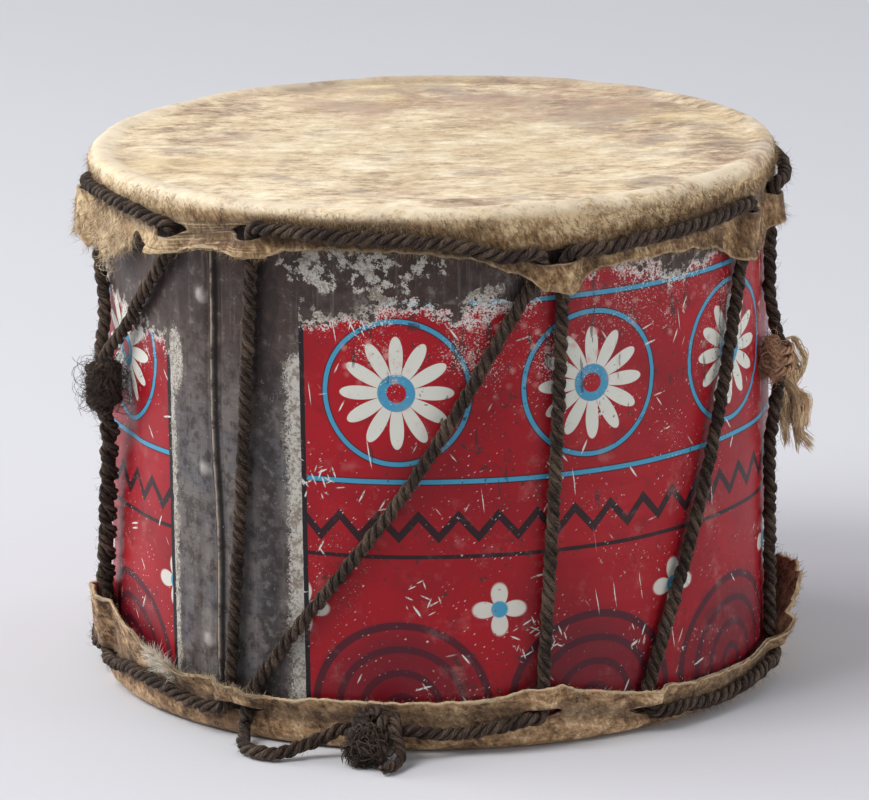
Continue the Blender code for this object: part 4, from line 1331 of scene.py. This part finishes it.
def wall_radius(angle, height):
    """The outside of the tin, with its lock seam, the dimples on it and its dents."""
    out = 0.0
    away = apart(angle, LOCK_SEAM_ANGLE + 0.6 * (0.5 - height / 0.12)) * DEGREE * 1000
    away += SEAM_SWAY * math.sin(height * 1000 * SEAM_WAVE)
    lift = ease(min(height - 0.004, CAN_HEIGHT - 0.004 - height) / 0.012)
    if abs(away) < 6:
        out += 0.00075 * math.exp(-(away / 0.62) ** 2) * lift
        out -= 0.00035 * math.exp(-((away - 1.6) / 0.7) ** 2) * lift
        out -= 0.00025 * math.exp(-((away + 1.6) / 0.6) ** 2) * lift
        for place in SEAM_DIMPLES:
            near = math.hypot(away + 3.4, height * 1000 - place)
            out += 0.0007 * math.exp(-(near / 1.9) ** 2)
    for place, middle, wide, tall, deep in DENTS:
        x = apart(angle, place) * DEGREE * 1000 / wide
        y = (height * 1000 - middle) / tall
        if x * x + y * y < 6:
            out -= deep / 1000 * math.exp(-(x * x + y * y) * 1.2)
    out += 0.00012 * wobble(angle, 5.0, 6.0) + 0.00008 * wobble(angle, height * 160, 3.0)
    return CAN_RADIUS + min(out, 0.0012)


def tin_wall(surface):
    """The wall, inside and out, with its columns set closer together at the seam."""
    near_seam = LOCK_SEAM_ANGLE % 360
    angles = sorted({round(a, 3) for a in np.arange(0, 360, 0.9)}
                    | {round(near_seam + a, 3) for a in np.arange(-4.5, 4.5, 0.22)})
    heights = np.linspace(CAN_BOTTOM + WALL_MARGIN, CAN_BOTTOM + CAN_HEIGHT - WALL_MARGIN,
                          WALL_RINGS)
    inside = CAN_RADIUS - CAN_WALL - WALL_INWARD
    verts = [tuple(at(a, h, wall_radius(a, h))) for h in heights for a in angles]
    verts += [tuple(at(a, h, inside)) for h in heights[::-1] for a in angles]
    rings, sides = 2 * len(heights), len(angles)
    quads = grid_faces(rings, sides)
    last = (rings - 1) * sides
    j = np.arange(sides)
    k = (j + 1) % sides
    quads = np.concatenate([quads, np.stack([last + j, last + k, k, j], axis=-1)])
    return mesh_of("tin_wall", verts, quads, [], surface)


# The heads

# Half of a mouth above and below its line, and a distance that is nowhere near a cut edge
MOUTH_UP, MOUTH_DOWN, FAR_IN = 0.0013, 0.0014, 0.0090
# How far the top head is pulled over towards the left
TOP_LEAN = 0.0006
# Where a column's points lie: on the face by its radius, and down the skirt to a slit and beyond
FACE_SHARES = (0.08, 0.25, 0.45, 0.62, 0.76, 0.86)
UPPER_SHARES = (0.2, 0.4, 0.6, 0.8, 1.0)
LOWER_SHARES = (0.0, 0.1, 0.2, 0.3, 0.4, 0.5, 0.6, 0.7, 0.8, 0.87, 0.93, 0.97, 1.0)
BEND_STEPS = 5
# Torn stretches of each hem: middle, half width in degrees, depth in metres
TEARS = {TOP: ((-76, 18, 0.0016), (66, 7, 0.0008), (20, 5, 0.0006)),
         BOTTOM: ((-56, 8, 0.0007), (88, 12, 0.0009), (38, 8, 0.0004))}


def lip(angle):
    """How far the fold between the first two mouths of the top skirt curls out, from 0 to 1."""
    return math.exp(-(apart(angle, -39) / 13) ** 4)


def puff(end, angle, depth):
    """How far the dried skin stands out beyond its plain shape."""
    line, hem = slit_line(end, angle) - 0.001, hem_depth(end, angle)
    roll = math.sin(math.pi * min(max(depth / max(line - 0.0012, 0.001), 0), 1))
    below = min(max((depth - line - 0.0012) / max(hem - line - 0.0012, 0.001), 0), 1)
    if end == BOTTOM:
        flap = math.exp(-(apart(angle, 86) / 8) ** 2)
        curl = math.exp(-(apart(angle, -52) / 14) ** 2)
        out = 0.0004 * roll + below ** 2 * (0.0006 + 0.0030 * flap + 0.0009 * curl)
        return out + below * 0.0005 * wobble(angle, 9.0, 7.0)
    curl = lip(angle) * (0.75 + 0.25 * math.cos(apart(angle, -41) / 4))
    out = 0.0005 * roll + below ** 2 * (0.0003 + 0.0026 * curl)
    out += below * 0.0007 * max(wobble(angle, 2.0, 6.0), -0.3)
    return out - TOP_LEAN * math.sin(math.radians(angle))


def hide_radius(end, angle, depth, pushed=None):
    """The skin's outside; below its mouths it is pushed out where the cord runs under it."""
    if pushed is None:
        pushed = depth > slit_line(end, angle)
    return skin_radius(end, angle, max(depth, SHOULDER), pushed) + SKIN + puff(end, angle, depth)


def ragged_hem(end, angle):
    """The hem's depth with its small nicks, and deep tears where tufts hang."""
    nick = 0.00035 * wobble(angle, 3.0, 30) + 0.0002 * wobble(angle, 4.0, 90)
    for place, wide, deep in TEARS[end]:
        share = math.exp(-(apart(angle, place) / wide) ** 4)
        if share > 0.01:
            nick += deep * share * (wobble(angle, 6.0, 22) + 0.5 * wobble(angle, 7.0, 60))
    return hem_depth(end, angle) + nick


def head_angles(end):
    """Even angles with others at each mouth's corners, so that every slit ends in a point."""
    angles = set(np.round(np.arange(0, 360, 0.55), 4))
    for place, _ in MOUTHS[end]:
        reach = mouth_half_width(end, place) / DEGREE
        angles = {a for a in angles if abs(abs(apart(a, place)) - reach) > 0.2}
        angles |= {round((place + side * reach) % 360, 4) for side in (-1, 1)}
    return sorted(angles)


def head_column(end, angle):
    """A column's points as (radius, depth, distance to a cut edge), to the slit and to the hem."""
    sag = TOP_SAG if end == TOP else 0.0
    base = hide_radius(end, angle, SHOULDER, False)
    bend = SHOULDER + 0.0006
    crest = base - bend
    lift = 0.00025 * wobble(angle, 1.0, 5.0) if end == TOP else 0.0
    upper = [(crest * share, sag * (1 - share ** 3)) for share in FACE_SHARES]
    upper += [(crest - 0.0042, sag * 0.55), (crest - 0.0026, sag * 0.3),
              (crest - 0.0012, 0.0001 - lift)]
    for step in range(BEND_STEPS + 1):
        turn = math.pi / 2 * step / BEND_STEPS
        upper.append((crest + bend * math.sin(turn),
                      bend - bend * math.cos(turn) - lift * math.cos(turn)))
    open_share, _ = lens(end, angle)
    line, hem = slit_line(end, angle), ragged_hem(end, angle)
    near = line - MOUTH_UP * open_share
    far = line + MOUTH_DOWN * open_share
    for share in UPPER_SHARES:
        depth = bend + (near - bend) * share
        upper.append((hide_radius(end, angle, depth, False), depth))
    lower = []
    for share in LOWER_SHARES:
        depth = far + (hem - far) * share
        pinch = -0.00022 if share == 1.0 else 0.0
        lower.append((hide_radius(end, angle, depth, True) + pinch, depth))
    together = open_share < 0.01
    if together:
        lower[0] = upper[-1]
    above = [point + (FAR_IN if together else near - point[1] + 0.0006,) for point in upper]
    below = [point + (min(hem - point[1], FAR_IN if together else point[1] - far + 0.0006),)
             for point in lower]
    return above, below, together


def rawhide_head(name, end, surface):
    """One skin: its face, its shoulder and its skirt with the slits cut in it."""
    verts, quads, tris, lies = [], [], [], []

    def vert(angle, point):
        radius, depth, edge = point
        place = at(angle, height_of(end, depth), radius)
        if radius > 0.02:
            rough = 0.00018 * cloud(place, 210, 3) + 0.00010 * cloud(place, 620, 8)
            place *= 1 + rough / place.length
        verts.append(tuple(place))
        lies.append((edge * 1000, (depth - slit_line(end, angle)) * 1000,
                     lip(angle) if end == TOP else 0.0))
        return len(verts) - 1

    vert(0, (0, TOP_SAG if end == TOP else 0.0, FAR_IN))
    columns = []
    for angle in head_angles(end):
        upper, lower, together = head_column(end, angle)
        up = [vert(angle, point) for point in upper]
        low = [up[-1] if together else vert(angle, lower[0])]
        low += [vert(angle, point) for point in lower[1:]]
        columns.append((up, low))
    for (up_a, low_a), (up_b, low_b) in zip(columns, columns[1:] + columns[:1]):
        tris.append((0, up_a[0], up_b[0]))
        for a, b in ((up_a, up_b), (low_a, low_b)):
            for i in range(len(a) - 1):
                quads.append((a[i], a[i + 1], b[i + 1], b[i]))
    quads, tris = np.array(quads), np.array(tris)
    if end == BOTTOM:
        quads, tris = quads[:, ::-1], tris[:, ::-1]
    item = mesh_of(name, verts, quads, tris, surface)
    keep_lie(item, np.array(lies))
    thick = item.modifiers.new("thickness", "SOLIDIFY")
    thick.thickness = SKIN * 0.92
    thick.offset = -1
    return item


# Hair on the skins: name, end, count, angles, shares of the depth, length, width, look, seed, how
# far it stands out, curl and slant
AROUND = (0, 360)
SKIN_HAIR = (
    ("top_crest_hair", TOP, 9000, AROUND, (0.0, 0.5), 0.0022, 0.00009, "crest_hair", 7,
     0.3, 0.3, 0.3),
    ("top_hair", TOP, 13000, AROUND, (0.12, 0.97), 0.0030, 0.00012, "brown_hair", 8,
     0.25, 0.35, 0.4),
    ("top_hem_hair", TOP, 2400, AROUND, (0.85, 1.0), 0.0034, 0.00010, "brown_hair", 9,
     0.12, 0.35, 0),
    ("left_tuft_hair", TOP, 1800, (-92, -57), (0.45, 1.0), 0.0046, 0.00013, "pale_hair", 10,
     0.14, 0.5, 0.1),
    ("bottom_hair", BOTTOM, 7000, AROUND, (0.1, 1.0), 0.0024, 0.00011, "brown_hair", 11,
     0.15, 0.35, 0.8),
    ("bottom_pale_hair", BOTTOM, 3500, AROUND, (0.1, 1.0), 0.0020, 0.00010, "pale_hair", 14,
     0.15, 0.35, 0.8),
    ("bottom_hem_hair", BOTTOM, 1600, (-64, -30), (0.8, 1.0), 0.0028, 0.00011, "crest_hair", 15,
     0.2, 0.4, 0.3),
    ("white_tuft_hair", BOTTOM, 520, (-56, -49.5), (0.66, 1.0), 0.0056, 0.00014, "white_hair", 12,
     0.3, 0.3, -0.5),
    ("flap_hair", BOTTOM, 900, (72, 102), (0.6, 1.0), 0.0026, 0.0001, "brown_hair", 13,
     0.4, 0.4, 0),
)


def skin_hairs(name, end, count, spread, depths, long, thick, surface, seed, out, curl, slant):
    """Short hair lying down the skirt between two angles and two shares of its depth."""
    random = np.random.default_rng(seed)
    starts, ways = [], []
    while len(starts) < count:
        angle = random.uniform(*spread)
        share = random.uniform(*depths)
        depth = 0.0006 + (ragged_hem(end, angle) - 0.0006) * share
        if cloud((angle * 0.05, share, end), 1.3, seed) + random.uniform(-0.5, 0.5) < -0.15:
            continue
        if lens(end, angle)[0] > 0 and abs(depth - mouth_depth(end, angle)) < 0.0026:
            continue
        round_off = max(0.0, SHOULDER - depth) ** 2 / (2 * SHOULDER)
        place, aside, outward, up = frame_at(angle, height_of(end, depth),
                                             hide_radius(end, angle, depth) - 0.0001 - round_off)
        starts.append(tuple(place))
        ways.append(tuple(-up * end * (1 - out) + outward * out
                          + aside * (slant * wobble(angle, 5.0, 3.0) + slant
                                     + random.normal(0, 0.35))))
    return fibres(name, np.array(starts), np.array(ways), random, long, thick, surface, curl, 3)


# Knots and the tassel


def tangle(place, aside, outward, up, size, turns, tilt):
    """A cord wound round and round a knot's lump, each turn at a new slant."""
    points = []
    for i in range(turns * 12 + 1):
        turn = 2 * math.pi * i / 12
        lean = tilt + turn * 0.29
        x, y, z = math.cos(turn) * math.cos(lean), math.sin(turn), math.cos(turn) * math.sin(lean)
        y, z = y * 0.8 + z * 0.6, z * 0.8 - y * 0.6
        reach = 1 + 0.12 * math.sin(turn * 2.3 + tilt)
        off = aside * x * size[0] + outward * y * size[1] + up * z * size[2]
        points.append(place + off * reach)
    return smooth(points, 3)


def lump(name, middle, size, turns, tilts, width, lay, surface):
    """A knot's lump of wound cord, and the points along its turns."""
    routes = [tangle(*middle, size, turns, tilt) for tilt in tilts]
    return rope(name, routes, width, lay, surface), [spot for route in routes for spot in route]


def brush(name, places, way, spread, count, long, thick, surface, seed, curl, points=8):
    """Frayed ends: fibres that leave the given spots and splay out."""
    random = np.random.default_rng(seed)
    places = np.array([tuple(place) for place in places])
    start = places[random.integers(0, len(places), count)]
    start = start + random.normal(0, spread[0], (count, 3))
    ways = np.array(way) + random.normal(0, spread[1], (count, 3))
    return fibres(name, start, ways, random, long, thick, surface, curl, points)


def frayed_ends():
    """The knot's cut cord ends, which curl down to the floor in front of the skirt."""
    place, aside, outward, _ = frame_at(KNOT_ANGLE, KNOT_HEIGHT, knot_radius())
    routes = []
    for start, bend, end in (
        ((0.6, 1.6, 7.2), (-1.6, 5.2, 6.0), (-2.4, 5.6, 1.9)),
        ((-2.2, 2.2, 6.4), (-4.6, 4.0, 4.6), (-5.0, 4.4, 1.7)),
        ((1.6, 2.4, 5.4), (2.2, 5.0, 3.6), (1.0, 7.2, 1.6)),
        ((-0.8, 2.0, 5.0), (-2.6, 4.4, 2.8), (-3.0, 7.0, 1.5)),
    ):
        points = [place + aside * x / 1000 + outward * y / 1000
                  + Vector((0, 0, z / 1000 - KNOT_HEIGHT)) for x, y, z in (start, bend, end)]
        routes.append(smooth(points, 8))
    return routes


# Locks of the tassel: sideways lean, thickness, and a course of (out, up) in millimetres
LOCKS = (
    (-1.2, 1.1, (0.6, -3.5), (1.2, -8), (2.4, -12), (1.8, -16), (2.6, -19.5), (3.4, -22)),
    (0.6, 1.1, (1.4, -4), (2.6, -8.5), (4.6, -12.5), (4.4, -16.5), (4.0, -20), (5.0, -23.4)),
    (0.2, 1.0, (2.2, -4), (3.2, -8.5), (6.2, -12.5), (5.6, -16.5), (6.4, -20), (8.6, -23.6)),
    (-2.0, 1.0, (0.0, -4), (0.4, -8), (1.8, -11.5), (1.0, -14.5), (2.4, -17.5)),
    (2.6, 0.7, (2.2, 2.4), (4.8, 1.6), (6.0, -2.0), (5.6, -5.4), (4.0, -7.8), (2.2, -8.8)),
    (2.0, 0.9, (1.8, 1.0), (3.4, -0.6), (4.4, -3.6), (4.2, -7.2), (2.6, -9.8)),
    (1.6, 0.9, (1.8, -2), (3.0, -6), (4.4, -9.5), (7.0, -12.5), (6.8, -16), (7.4, -18.5)),
    (1.6, 0.9, (-0.2, -3.5), (-0.4, -7), (0.8, -11), (0.4, -14)),
    (-1.0, 1.1, (1.6, -3), (2.2, -7), (5.0, -11), (5.6, -14), (4.4, -18)),
)
# Fibres in a lock of thickness 1, points in a fibre, and its unsteadiness in millimetres
LOCK_FIBRES, LOCK_POINTS, LOCK_SHAKE = 50, 22, 0.075


def tassel(surface):
    """Loose jute that leaves its tie, bows outwards and hangs down in curly locks."""
    random = np.random.default_rng(41)
    root, aside, outward, up = (np.array(v) for v in tassel_frame())
    share = np.linspace(0, 1, LOCK_POINTS)
    lines = []
    for lean, thick, *guide in LOCKS:
        course = [Vector((lean * (i / len(guide)) ** 0.7 * 1.4, *point))
                  for i, point in enumerate([(0, 0), *guide])]
        course, _ = even(smooth(course, 6), 0.25)
        course = course[np.linspace(0, len(course) - 1, LOCK_POINTS).round().astype(int)]
        phase = random.uniform(0, 6.28, 3)
        sway = np.sin(share[:, None] * np.array((9.0, 13.0, 11.0)) + phase)
        course = course + sway * 0.42 * np.minimum(share * 3, 1)[:, None]
        width = thick * (0.35 + 0.75 * np.sin(np.pi * np.minimum(share * 1.05, 1)) ** 0.6) * 0.75
        twist = random.uniform(5, 9) * random.choice((-1, 1))
        for _ in range(int(LOCK_FIBRES * thick)):
            start, reach = random.uniform(0, 6.28), random.uniform(0.15, 1.15) ** 0.7
            turn = start + share * twist + np.sin(share * 9 + start) * 0.5
            own = course + reach * width[:, None] * np.stack(
                [np.cos(turn), np.sin(turn), 0.5 * np.sin(turn * 1.7 + start)], axis=-1)
            own[:, 2] += share * random.uniform(-1.4, 1.6)
            own += np.cumsum(random.normal(0, LOCK_SHAKE, own.shape), axis=0)
            lines.append(own)
    lines = np.array(lines) / 1000
    lines[..., 1] = np.maximum(lines[..., 1], -0.0012)
    # Clear of the tin when it has swung up
    lines[..., 2] = np.minimum(lines[..., 2], 0.0016 + 0.26 * lines[..., 1])
    placed = root + aside * lines[..., :1] + outward * lines[..., 1:2] + up * lines[..., 2:3]
    item = hairs("jute_tuft", placed, random.uniform(0.00013, 0.00030, len(placed)), surface)
    lie = np.zeros((len(item.data.vertices), 3))
    lie[:, 0] = np.repeat(random.uniform(0.2, 0.8, len(placed)), len(lie) // len(placed))
    keep_lie(item, lie)
    return item


def curls(name, middle, size, count, reach, thick, surface, seed, sweep, points=10):
    """Loose curls: arcs of many small circles about a lump, whose own axes middle gives."""
    random = np.random.default_rng(seed)
    place, *axes = (np.array(v) for v in middle)
    spot = unit(random.normal(0, 1, (count, 3)))
    spot = (spot * random.uniform(0.3, 1.0, (count, 1)) * np.array(size)) @ np.array(axes)
    first = unit(random.normal(0, 1, (count, 3)))
    second = unit(np.cross(first, random.normal(0, 1, (count, 3))))
    turn = np.linspace(0, 1, points)[None] * sweep * random.uniform(0.5, 1.2, (count, 1))
    turn = turn[..., None]
    radius = (reach * random.uniform(0.35, 1.0, count))[:, None, None]
    arc = first[:, None] * (1 - np.cos(turn)) + second[:, None] * np.sin(turn)
    lines = place + spot[:, None] + arc * radius * (1 + turn * 0.12)
    lines[..., 2] = np.maximum(lines[..., 2], ON_FLOOR)
    return hairs(name, lines, thick * random.uniform(0.6, 1.2, count), surface)


# Camera, light and floor

# Softboxes: name, place, size and power, all turned to the drum's middle
LAMPS = (
    ("key", (-0.95, -0.55, 1.35), (0.9, 0.9), 21.5),
    ("left_side", (-1.5, 0.55, 0.55), (0.9, 1.2), 19),
    ("right_side", (1.5, 0.65, 0.5), (0.7, 1.1), 5),
    ("right_front", (1.35, -0.80, 0.28), (0.9, 0.5), 7.5),
)
LAMP_TARGET = (0, 0, 0.06)


def stage(surface):
    bpy.ops.mesh.primitive_plane_add(size=8, location=(0, 0, -0.0002))
    floor = bpy.context.object
    floor.name = "studio_floor"
    floor.data.materials.append(surface)


def floor_material():
    graph = Graph("studio_paper")
    tone = graph.noise(3, 3) * 0.03 + 0.60
    colour = graph.vector(tone, tone, tone * 1.035)
    return graph.surface(colour=colour, roughness=0.9, gloss=0.15)


def lamp(name, place, size, power):
    data = bpy.data.lights.new(name, "AREA")
    data.shape, data.size, data.size_y = "RECTANGLE", size[0], size[1]
    data.energy = power
    item = bpy.data.objects.new(name, data)
    item.location = place
    way = Vector(LAMP_TARGET) - Vector(place)
    item.rotation_euler = way.to_track_quat("-Z", "Y").to_euler()
    bpy.context.collection.objects.link(item)


def camera():
    """The photograph's view: a long lens from slightly above, rolled by less than a degree."""
    away, tilt, roll = 1.4, math.radians(13.987), math.radians(-0.9036)
    target = Vector((-0.00083, 0, 0.06138))
    back = Vector((0, -math.cos(tilt), math.sin(tilt)))
    right, up = Vector((1, 0, 0)), Vector((0, math.sin(tilt), math.cos(tilt)))
    right, up = (right * math.cos(roll) + up * math.sin(roll),
                 up * math.cos(roll) - right * math.sin(roll))
    data = bpy.data.cameras.new("photo_view")
    data.sensor_width, data.lens = 36.0, 248.73
    item = bpy.data.objects.new("photo_view", data)
    bpy.context.collection.objects.link(item)
    turn = Matrix((right, up, back)).transposed().to_4x4()
    item.matrix_world = Matrix.Translation(target + back * away) @ turn
    bpy.context.scene.camera = item
    bpy.context.scene.view_settings.view_transform = "Standard"


def world_light():
    """Pale surroundings, dimmer on the camera's side, so that gloss there stays dark."""
    world = bpy.data.worlds.new("studio")
    bpy.context.scene.world = world
    world.use_nodes = True
    nodes, links = world.node_tree.nodes, world.node_tree.links
    background = nodes["Background"]
    background.inputs["Color"].default_value = (0.92, 0.935, 1.0, 1)
    way = nodes.new("ShaderNodeSeparateXYZ")
    links.new(nodes.new("ShaderNodeTexCoord").outputs["Generated"], way.inputs[0])
    fade = nodes.new("ShaderNodeMapRange")
    fade.interpolation_type = "SMOOTHSTEP"
    for name, value in (("From Min", -0.9), ("From Max", 0.3), ("To Min", 0.20), ("To Max", 0.67)):
        fade.inputs[name].default_value = value
    links.new(way.outputs["Y"], fade.inputs["Value"])
    links.new(fade.outputs[0], background.inputs["Strength"])


# Dressing the frame

# The length of one turn of the cord's strands, and its share in thinner and in wound cord
LAY = 0.0080
THIN_LAY, WOUND_LAY = LAY * 0.6, LAY * 0.7

# Cord: name, dark, middle and light colour
CORDS = (
    ("dark_twine", (0.0075, 0.0042, 0.003), (0.026, 0.0145, 0.010), (0.160, 0.108, 0.074)),
    ("jute_cord", (0.17, 0.070, 0.036), (0.40, 0.21, 0.115), (0.70, 0.47, 0.29)),
)
# Loose fibre: name, dark and light colour, scale of its shades, sheen, share of its own tone
LOOSE = (
    ("frayed_twine", (0.009, 0.005, 0.0035), (0.090, 0.054, 0.034), 2000),
    ("jute_fibre", (0.54, 0.29, 0.135), (0.99, 0.85, 0.56), 700, 0.3, 0.7),
    # The tangle's jute is darker and redder: partly its own colour, partly painted shade on the
    # dense ball
    ("jute_tangle", (0.23, 0.090, 0.044), (0.60, 0.35, 0.20), 700, 0.25),
    ("jute_mat", (0.38, 0.20, 0.105), (0.86, 0.62, 0.40), 700, 0.25),
    ("pale_hair", (0.50, 0.34, 0.20), (0.92, 0.79, 0.58), 2400),
    ("white_hair", (0.66, 0.57, 0.44), (0.93, 0.89, 0.80), 2400),
    ("crest_hair", (0.20, 0.115, 0.055), (0.80, 0.65, 0.43), 2400),
    ("brown_hair", (0.055, 0.028, 0.014), (0.52, 0.34, 0.165), 2400),
)


def dress(item, slot, *nodes, body="drum"):
    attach(item, body)
    if nodes:
        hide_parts(*nodes)


def dress_cords(looks, slack):
    """The cord with its free loop, its knot and its ties, the tassel, and the fuzz on it all."""
    twine, fray = looks["dark_twine"], looks["frayed_twine"]
    loop = rope("slack_loop_rope", [slack], CORD, LAY, twine)
    knot = rope("front_knot_rope", [smooth(knot_route())], KNOT_CORD, LAY * 0.8, twine)
    dress(knot, "twine", "front_knot")
    dress(loop, "twine", "slack_loop")
    length = sum((b - a).length for a, b in zip(slack, slack[1:]))
    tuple(slack[0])

    lacing = smooth(lacing_route())
    dress(rope("lacing_rope", [lacing], CORD, LAY, twine, slim=pressed_pair),
          "twine", "lacing_cord")
    dress(rope("tie_rope", [smooth(tie_route())], TIE_CORD, THIN_LAY, twine), "twine", "cord_tie")
    dress(rope("jute_tie_rope", [smooth(jute_route())], JUTE_CORD, THIN_LAY, looks["jute_cord"]),
          "jute", "jute_tie")
    dress(tassel(looks["jute_fibre"]), "jute", "jute_tassel", body="tassel")
    dress(fuzz_on("lacing_fuzz", lacing, 8000, 0.0030, 0.00008, fray, 5), "twine")
    dress(fuzz_on("lacing_strays", lacing, 4500, 0.0019, 0.00006, fray, 6, 0.7), "twine")


def dress_tin_and_skins(looks):
    dress(tin_wall(can_paint()), "painted_tin", "can_shell")
    for node in ("top_end_ring", "bottom_end_ring"):
        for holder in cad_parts[node].material_slots:
            holder.material = plain_tin()
    slots = {TOP: "top_rawhide", BOTTOM: "bottom_rawhide"}
    dress(rawhide_head("top_rawhide", TOP, hide("top_hide", TOP)), slots[TOP], "top_head")
    dress(rawhide_head("bottom_rawhide", BOTTOM, hide("bottom_hide", BOTTOM)), slots[BOTTOM],
          "bottom_head")
    for name, end, count, spread, depths, long, thick, look, *rest in SKIN_HAIR:
        dress(skin_hairs(name, end, count, spread, depths, long, thick, looks[look], *rest),
              slots[end])


def dress_left_tie(looks):
    """The lump of the tie at the left, and the curls under the skirt above it."""
    twine, fray = looks["dark_twine"], looks["frayed_twine"]
    middle = frame_at(TIE_ANGLE + 2.0, TIE_HEIGHT + 0.0010, tie_radius() + 0.0004)
    item, wound = lump("tie_lump", middle, (0.0041, 0.0030, 0.0046), 5, (0.4, 2.1), 0.0019,
                       THIN_LAY, twine)
    dress(item, "twine")
    dress(brush("tie_fuzz", wound, middle[2] * 0.5, (0.0006, 0.8), 1500, 0.0050, 0.00010, fray,
                21, 0.9, 7), "twine")
    dress(curls("tie_curls", middle, (0.0050, 0.0036, 0.0056), 460, 0.0026, 0.00017, fray, 22,
                4.5), "twine")
    strays = frame_at(-67, height_of(TOP, 0.0205), SKIN_OUTER + 0.0018)
    dress(curls("tuft_curls", strays, (0.0034, 0.0006, 0.0034), 34, 0.0012, 0.00014,
                looks["pale_hair"], 36, 6.0, 14), "top_rawhide")


def dress_front_knot(looks, slack):
    """The front knot's lump, its frayed ends, and the fuzz on the free loop beside it."""
    twine, fray = looks["dark_twine"], looks["frayed_twine"]
    middle = frame_at(KNOT_ANGLE, KNOT_HEIGHT + 0.0010, knot_radius() + 0.0006)
    item, wound = lump("knot_lump", middle, (0.0046, 0.0030, 0.0036), 3, (1.1, 2.6), 0.0026,
                       WOUND_LAY, twine)
    dress(item, "twine")
    ends = frayed_ends()
    dress(rope("knot_ends", ends, 0.0025, WOUND_LAY, twine, flare=0.5), "twine")
    tips = [spot for route in ends for spot in route[len(route) // 2:]]
    dress(brush("knot_fray", tips, (0.0, -0.5, -0.4), (0.0007, 0.8), 900, 0.0030, 0.00016, fray,
                31, 0.9), "twine")
    low = frame_at(KNOT_ANGLE - 1.6, 0.0042, knot_radius() + 0.0050)
    dress(curls("knot_curls", low, (0.0034, 0.0020, 0.0030), 360, 0.0016, 0.00042, fray, 35,
                5.5), "twine")
    dress(brush("knot_fuzz", wound, middle[2] * 0.5, (0.0006, 0.9), 900, 0.0034, 0.00010, fray,
                32, 0.8, 5), "twine")
    dress(fuzz_on("loop_fuzz", slack, 300, 0.0024, 0.00008, fray, 33), "twine")


def dress_jute(looks):
    """The jute's tangle round its tie, and the mat of fibre in the tassel's middle."""
    place, aside, outward, up = jute_frame()
    ball = (place - outward * 0.0011 - aside * 0.0020 + up * 0.0012, aside, outward, up)
    item, _ = lump("jute_lump", ball, (0.0022, 0.0015, 0.0042), 3, (0.9, 2.4), 0.0020, THIN_LAY,
                   looks["jute_cord"])
    dress(item, "jute")
    dress(curls("jute_tangle", ball, (0.0030, 0.0019, 0.0052), 900, 0.0012, 0.00022,
                looks["jute_tangle"], 34, 5.0), "jute")
    root, aside, outward, up = tassel_frame()
    body = (root + outward * 0.0038 - up * 0.0140, aside, outward, up)
    dress(curls("jute_mat", body, (0.0020, 0.0026, 0.0038), 620, 0.0011, 0.00018,
                looks["jute_mat"], 37, 3.6), "jute", body="tassel")


def main():
    camera()
    world_light()
    for setting in LAMPS:
        lamp(*setting)
    stage(floor_material())
    looks = {kind[0]: make(*kind) for make, kinds in ((twisted, CORDS), (fibre, LOOSE))
             for kind in kinds}
    slack = smooth(slack_route())
    dress_cords(looks, slack)
    dress_tin_and_skins(looks)
    dress_left_tie(looks)
    dress_front_knot(looks, slack)
    dress_jute(looks)


main()
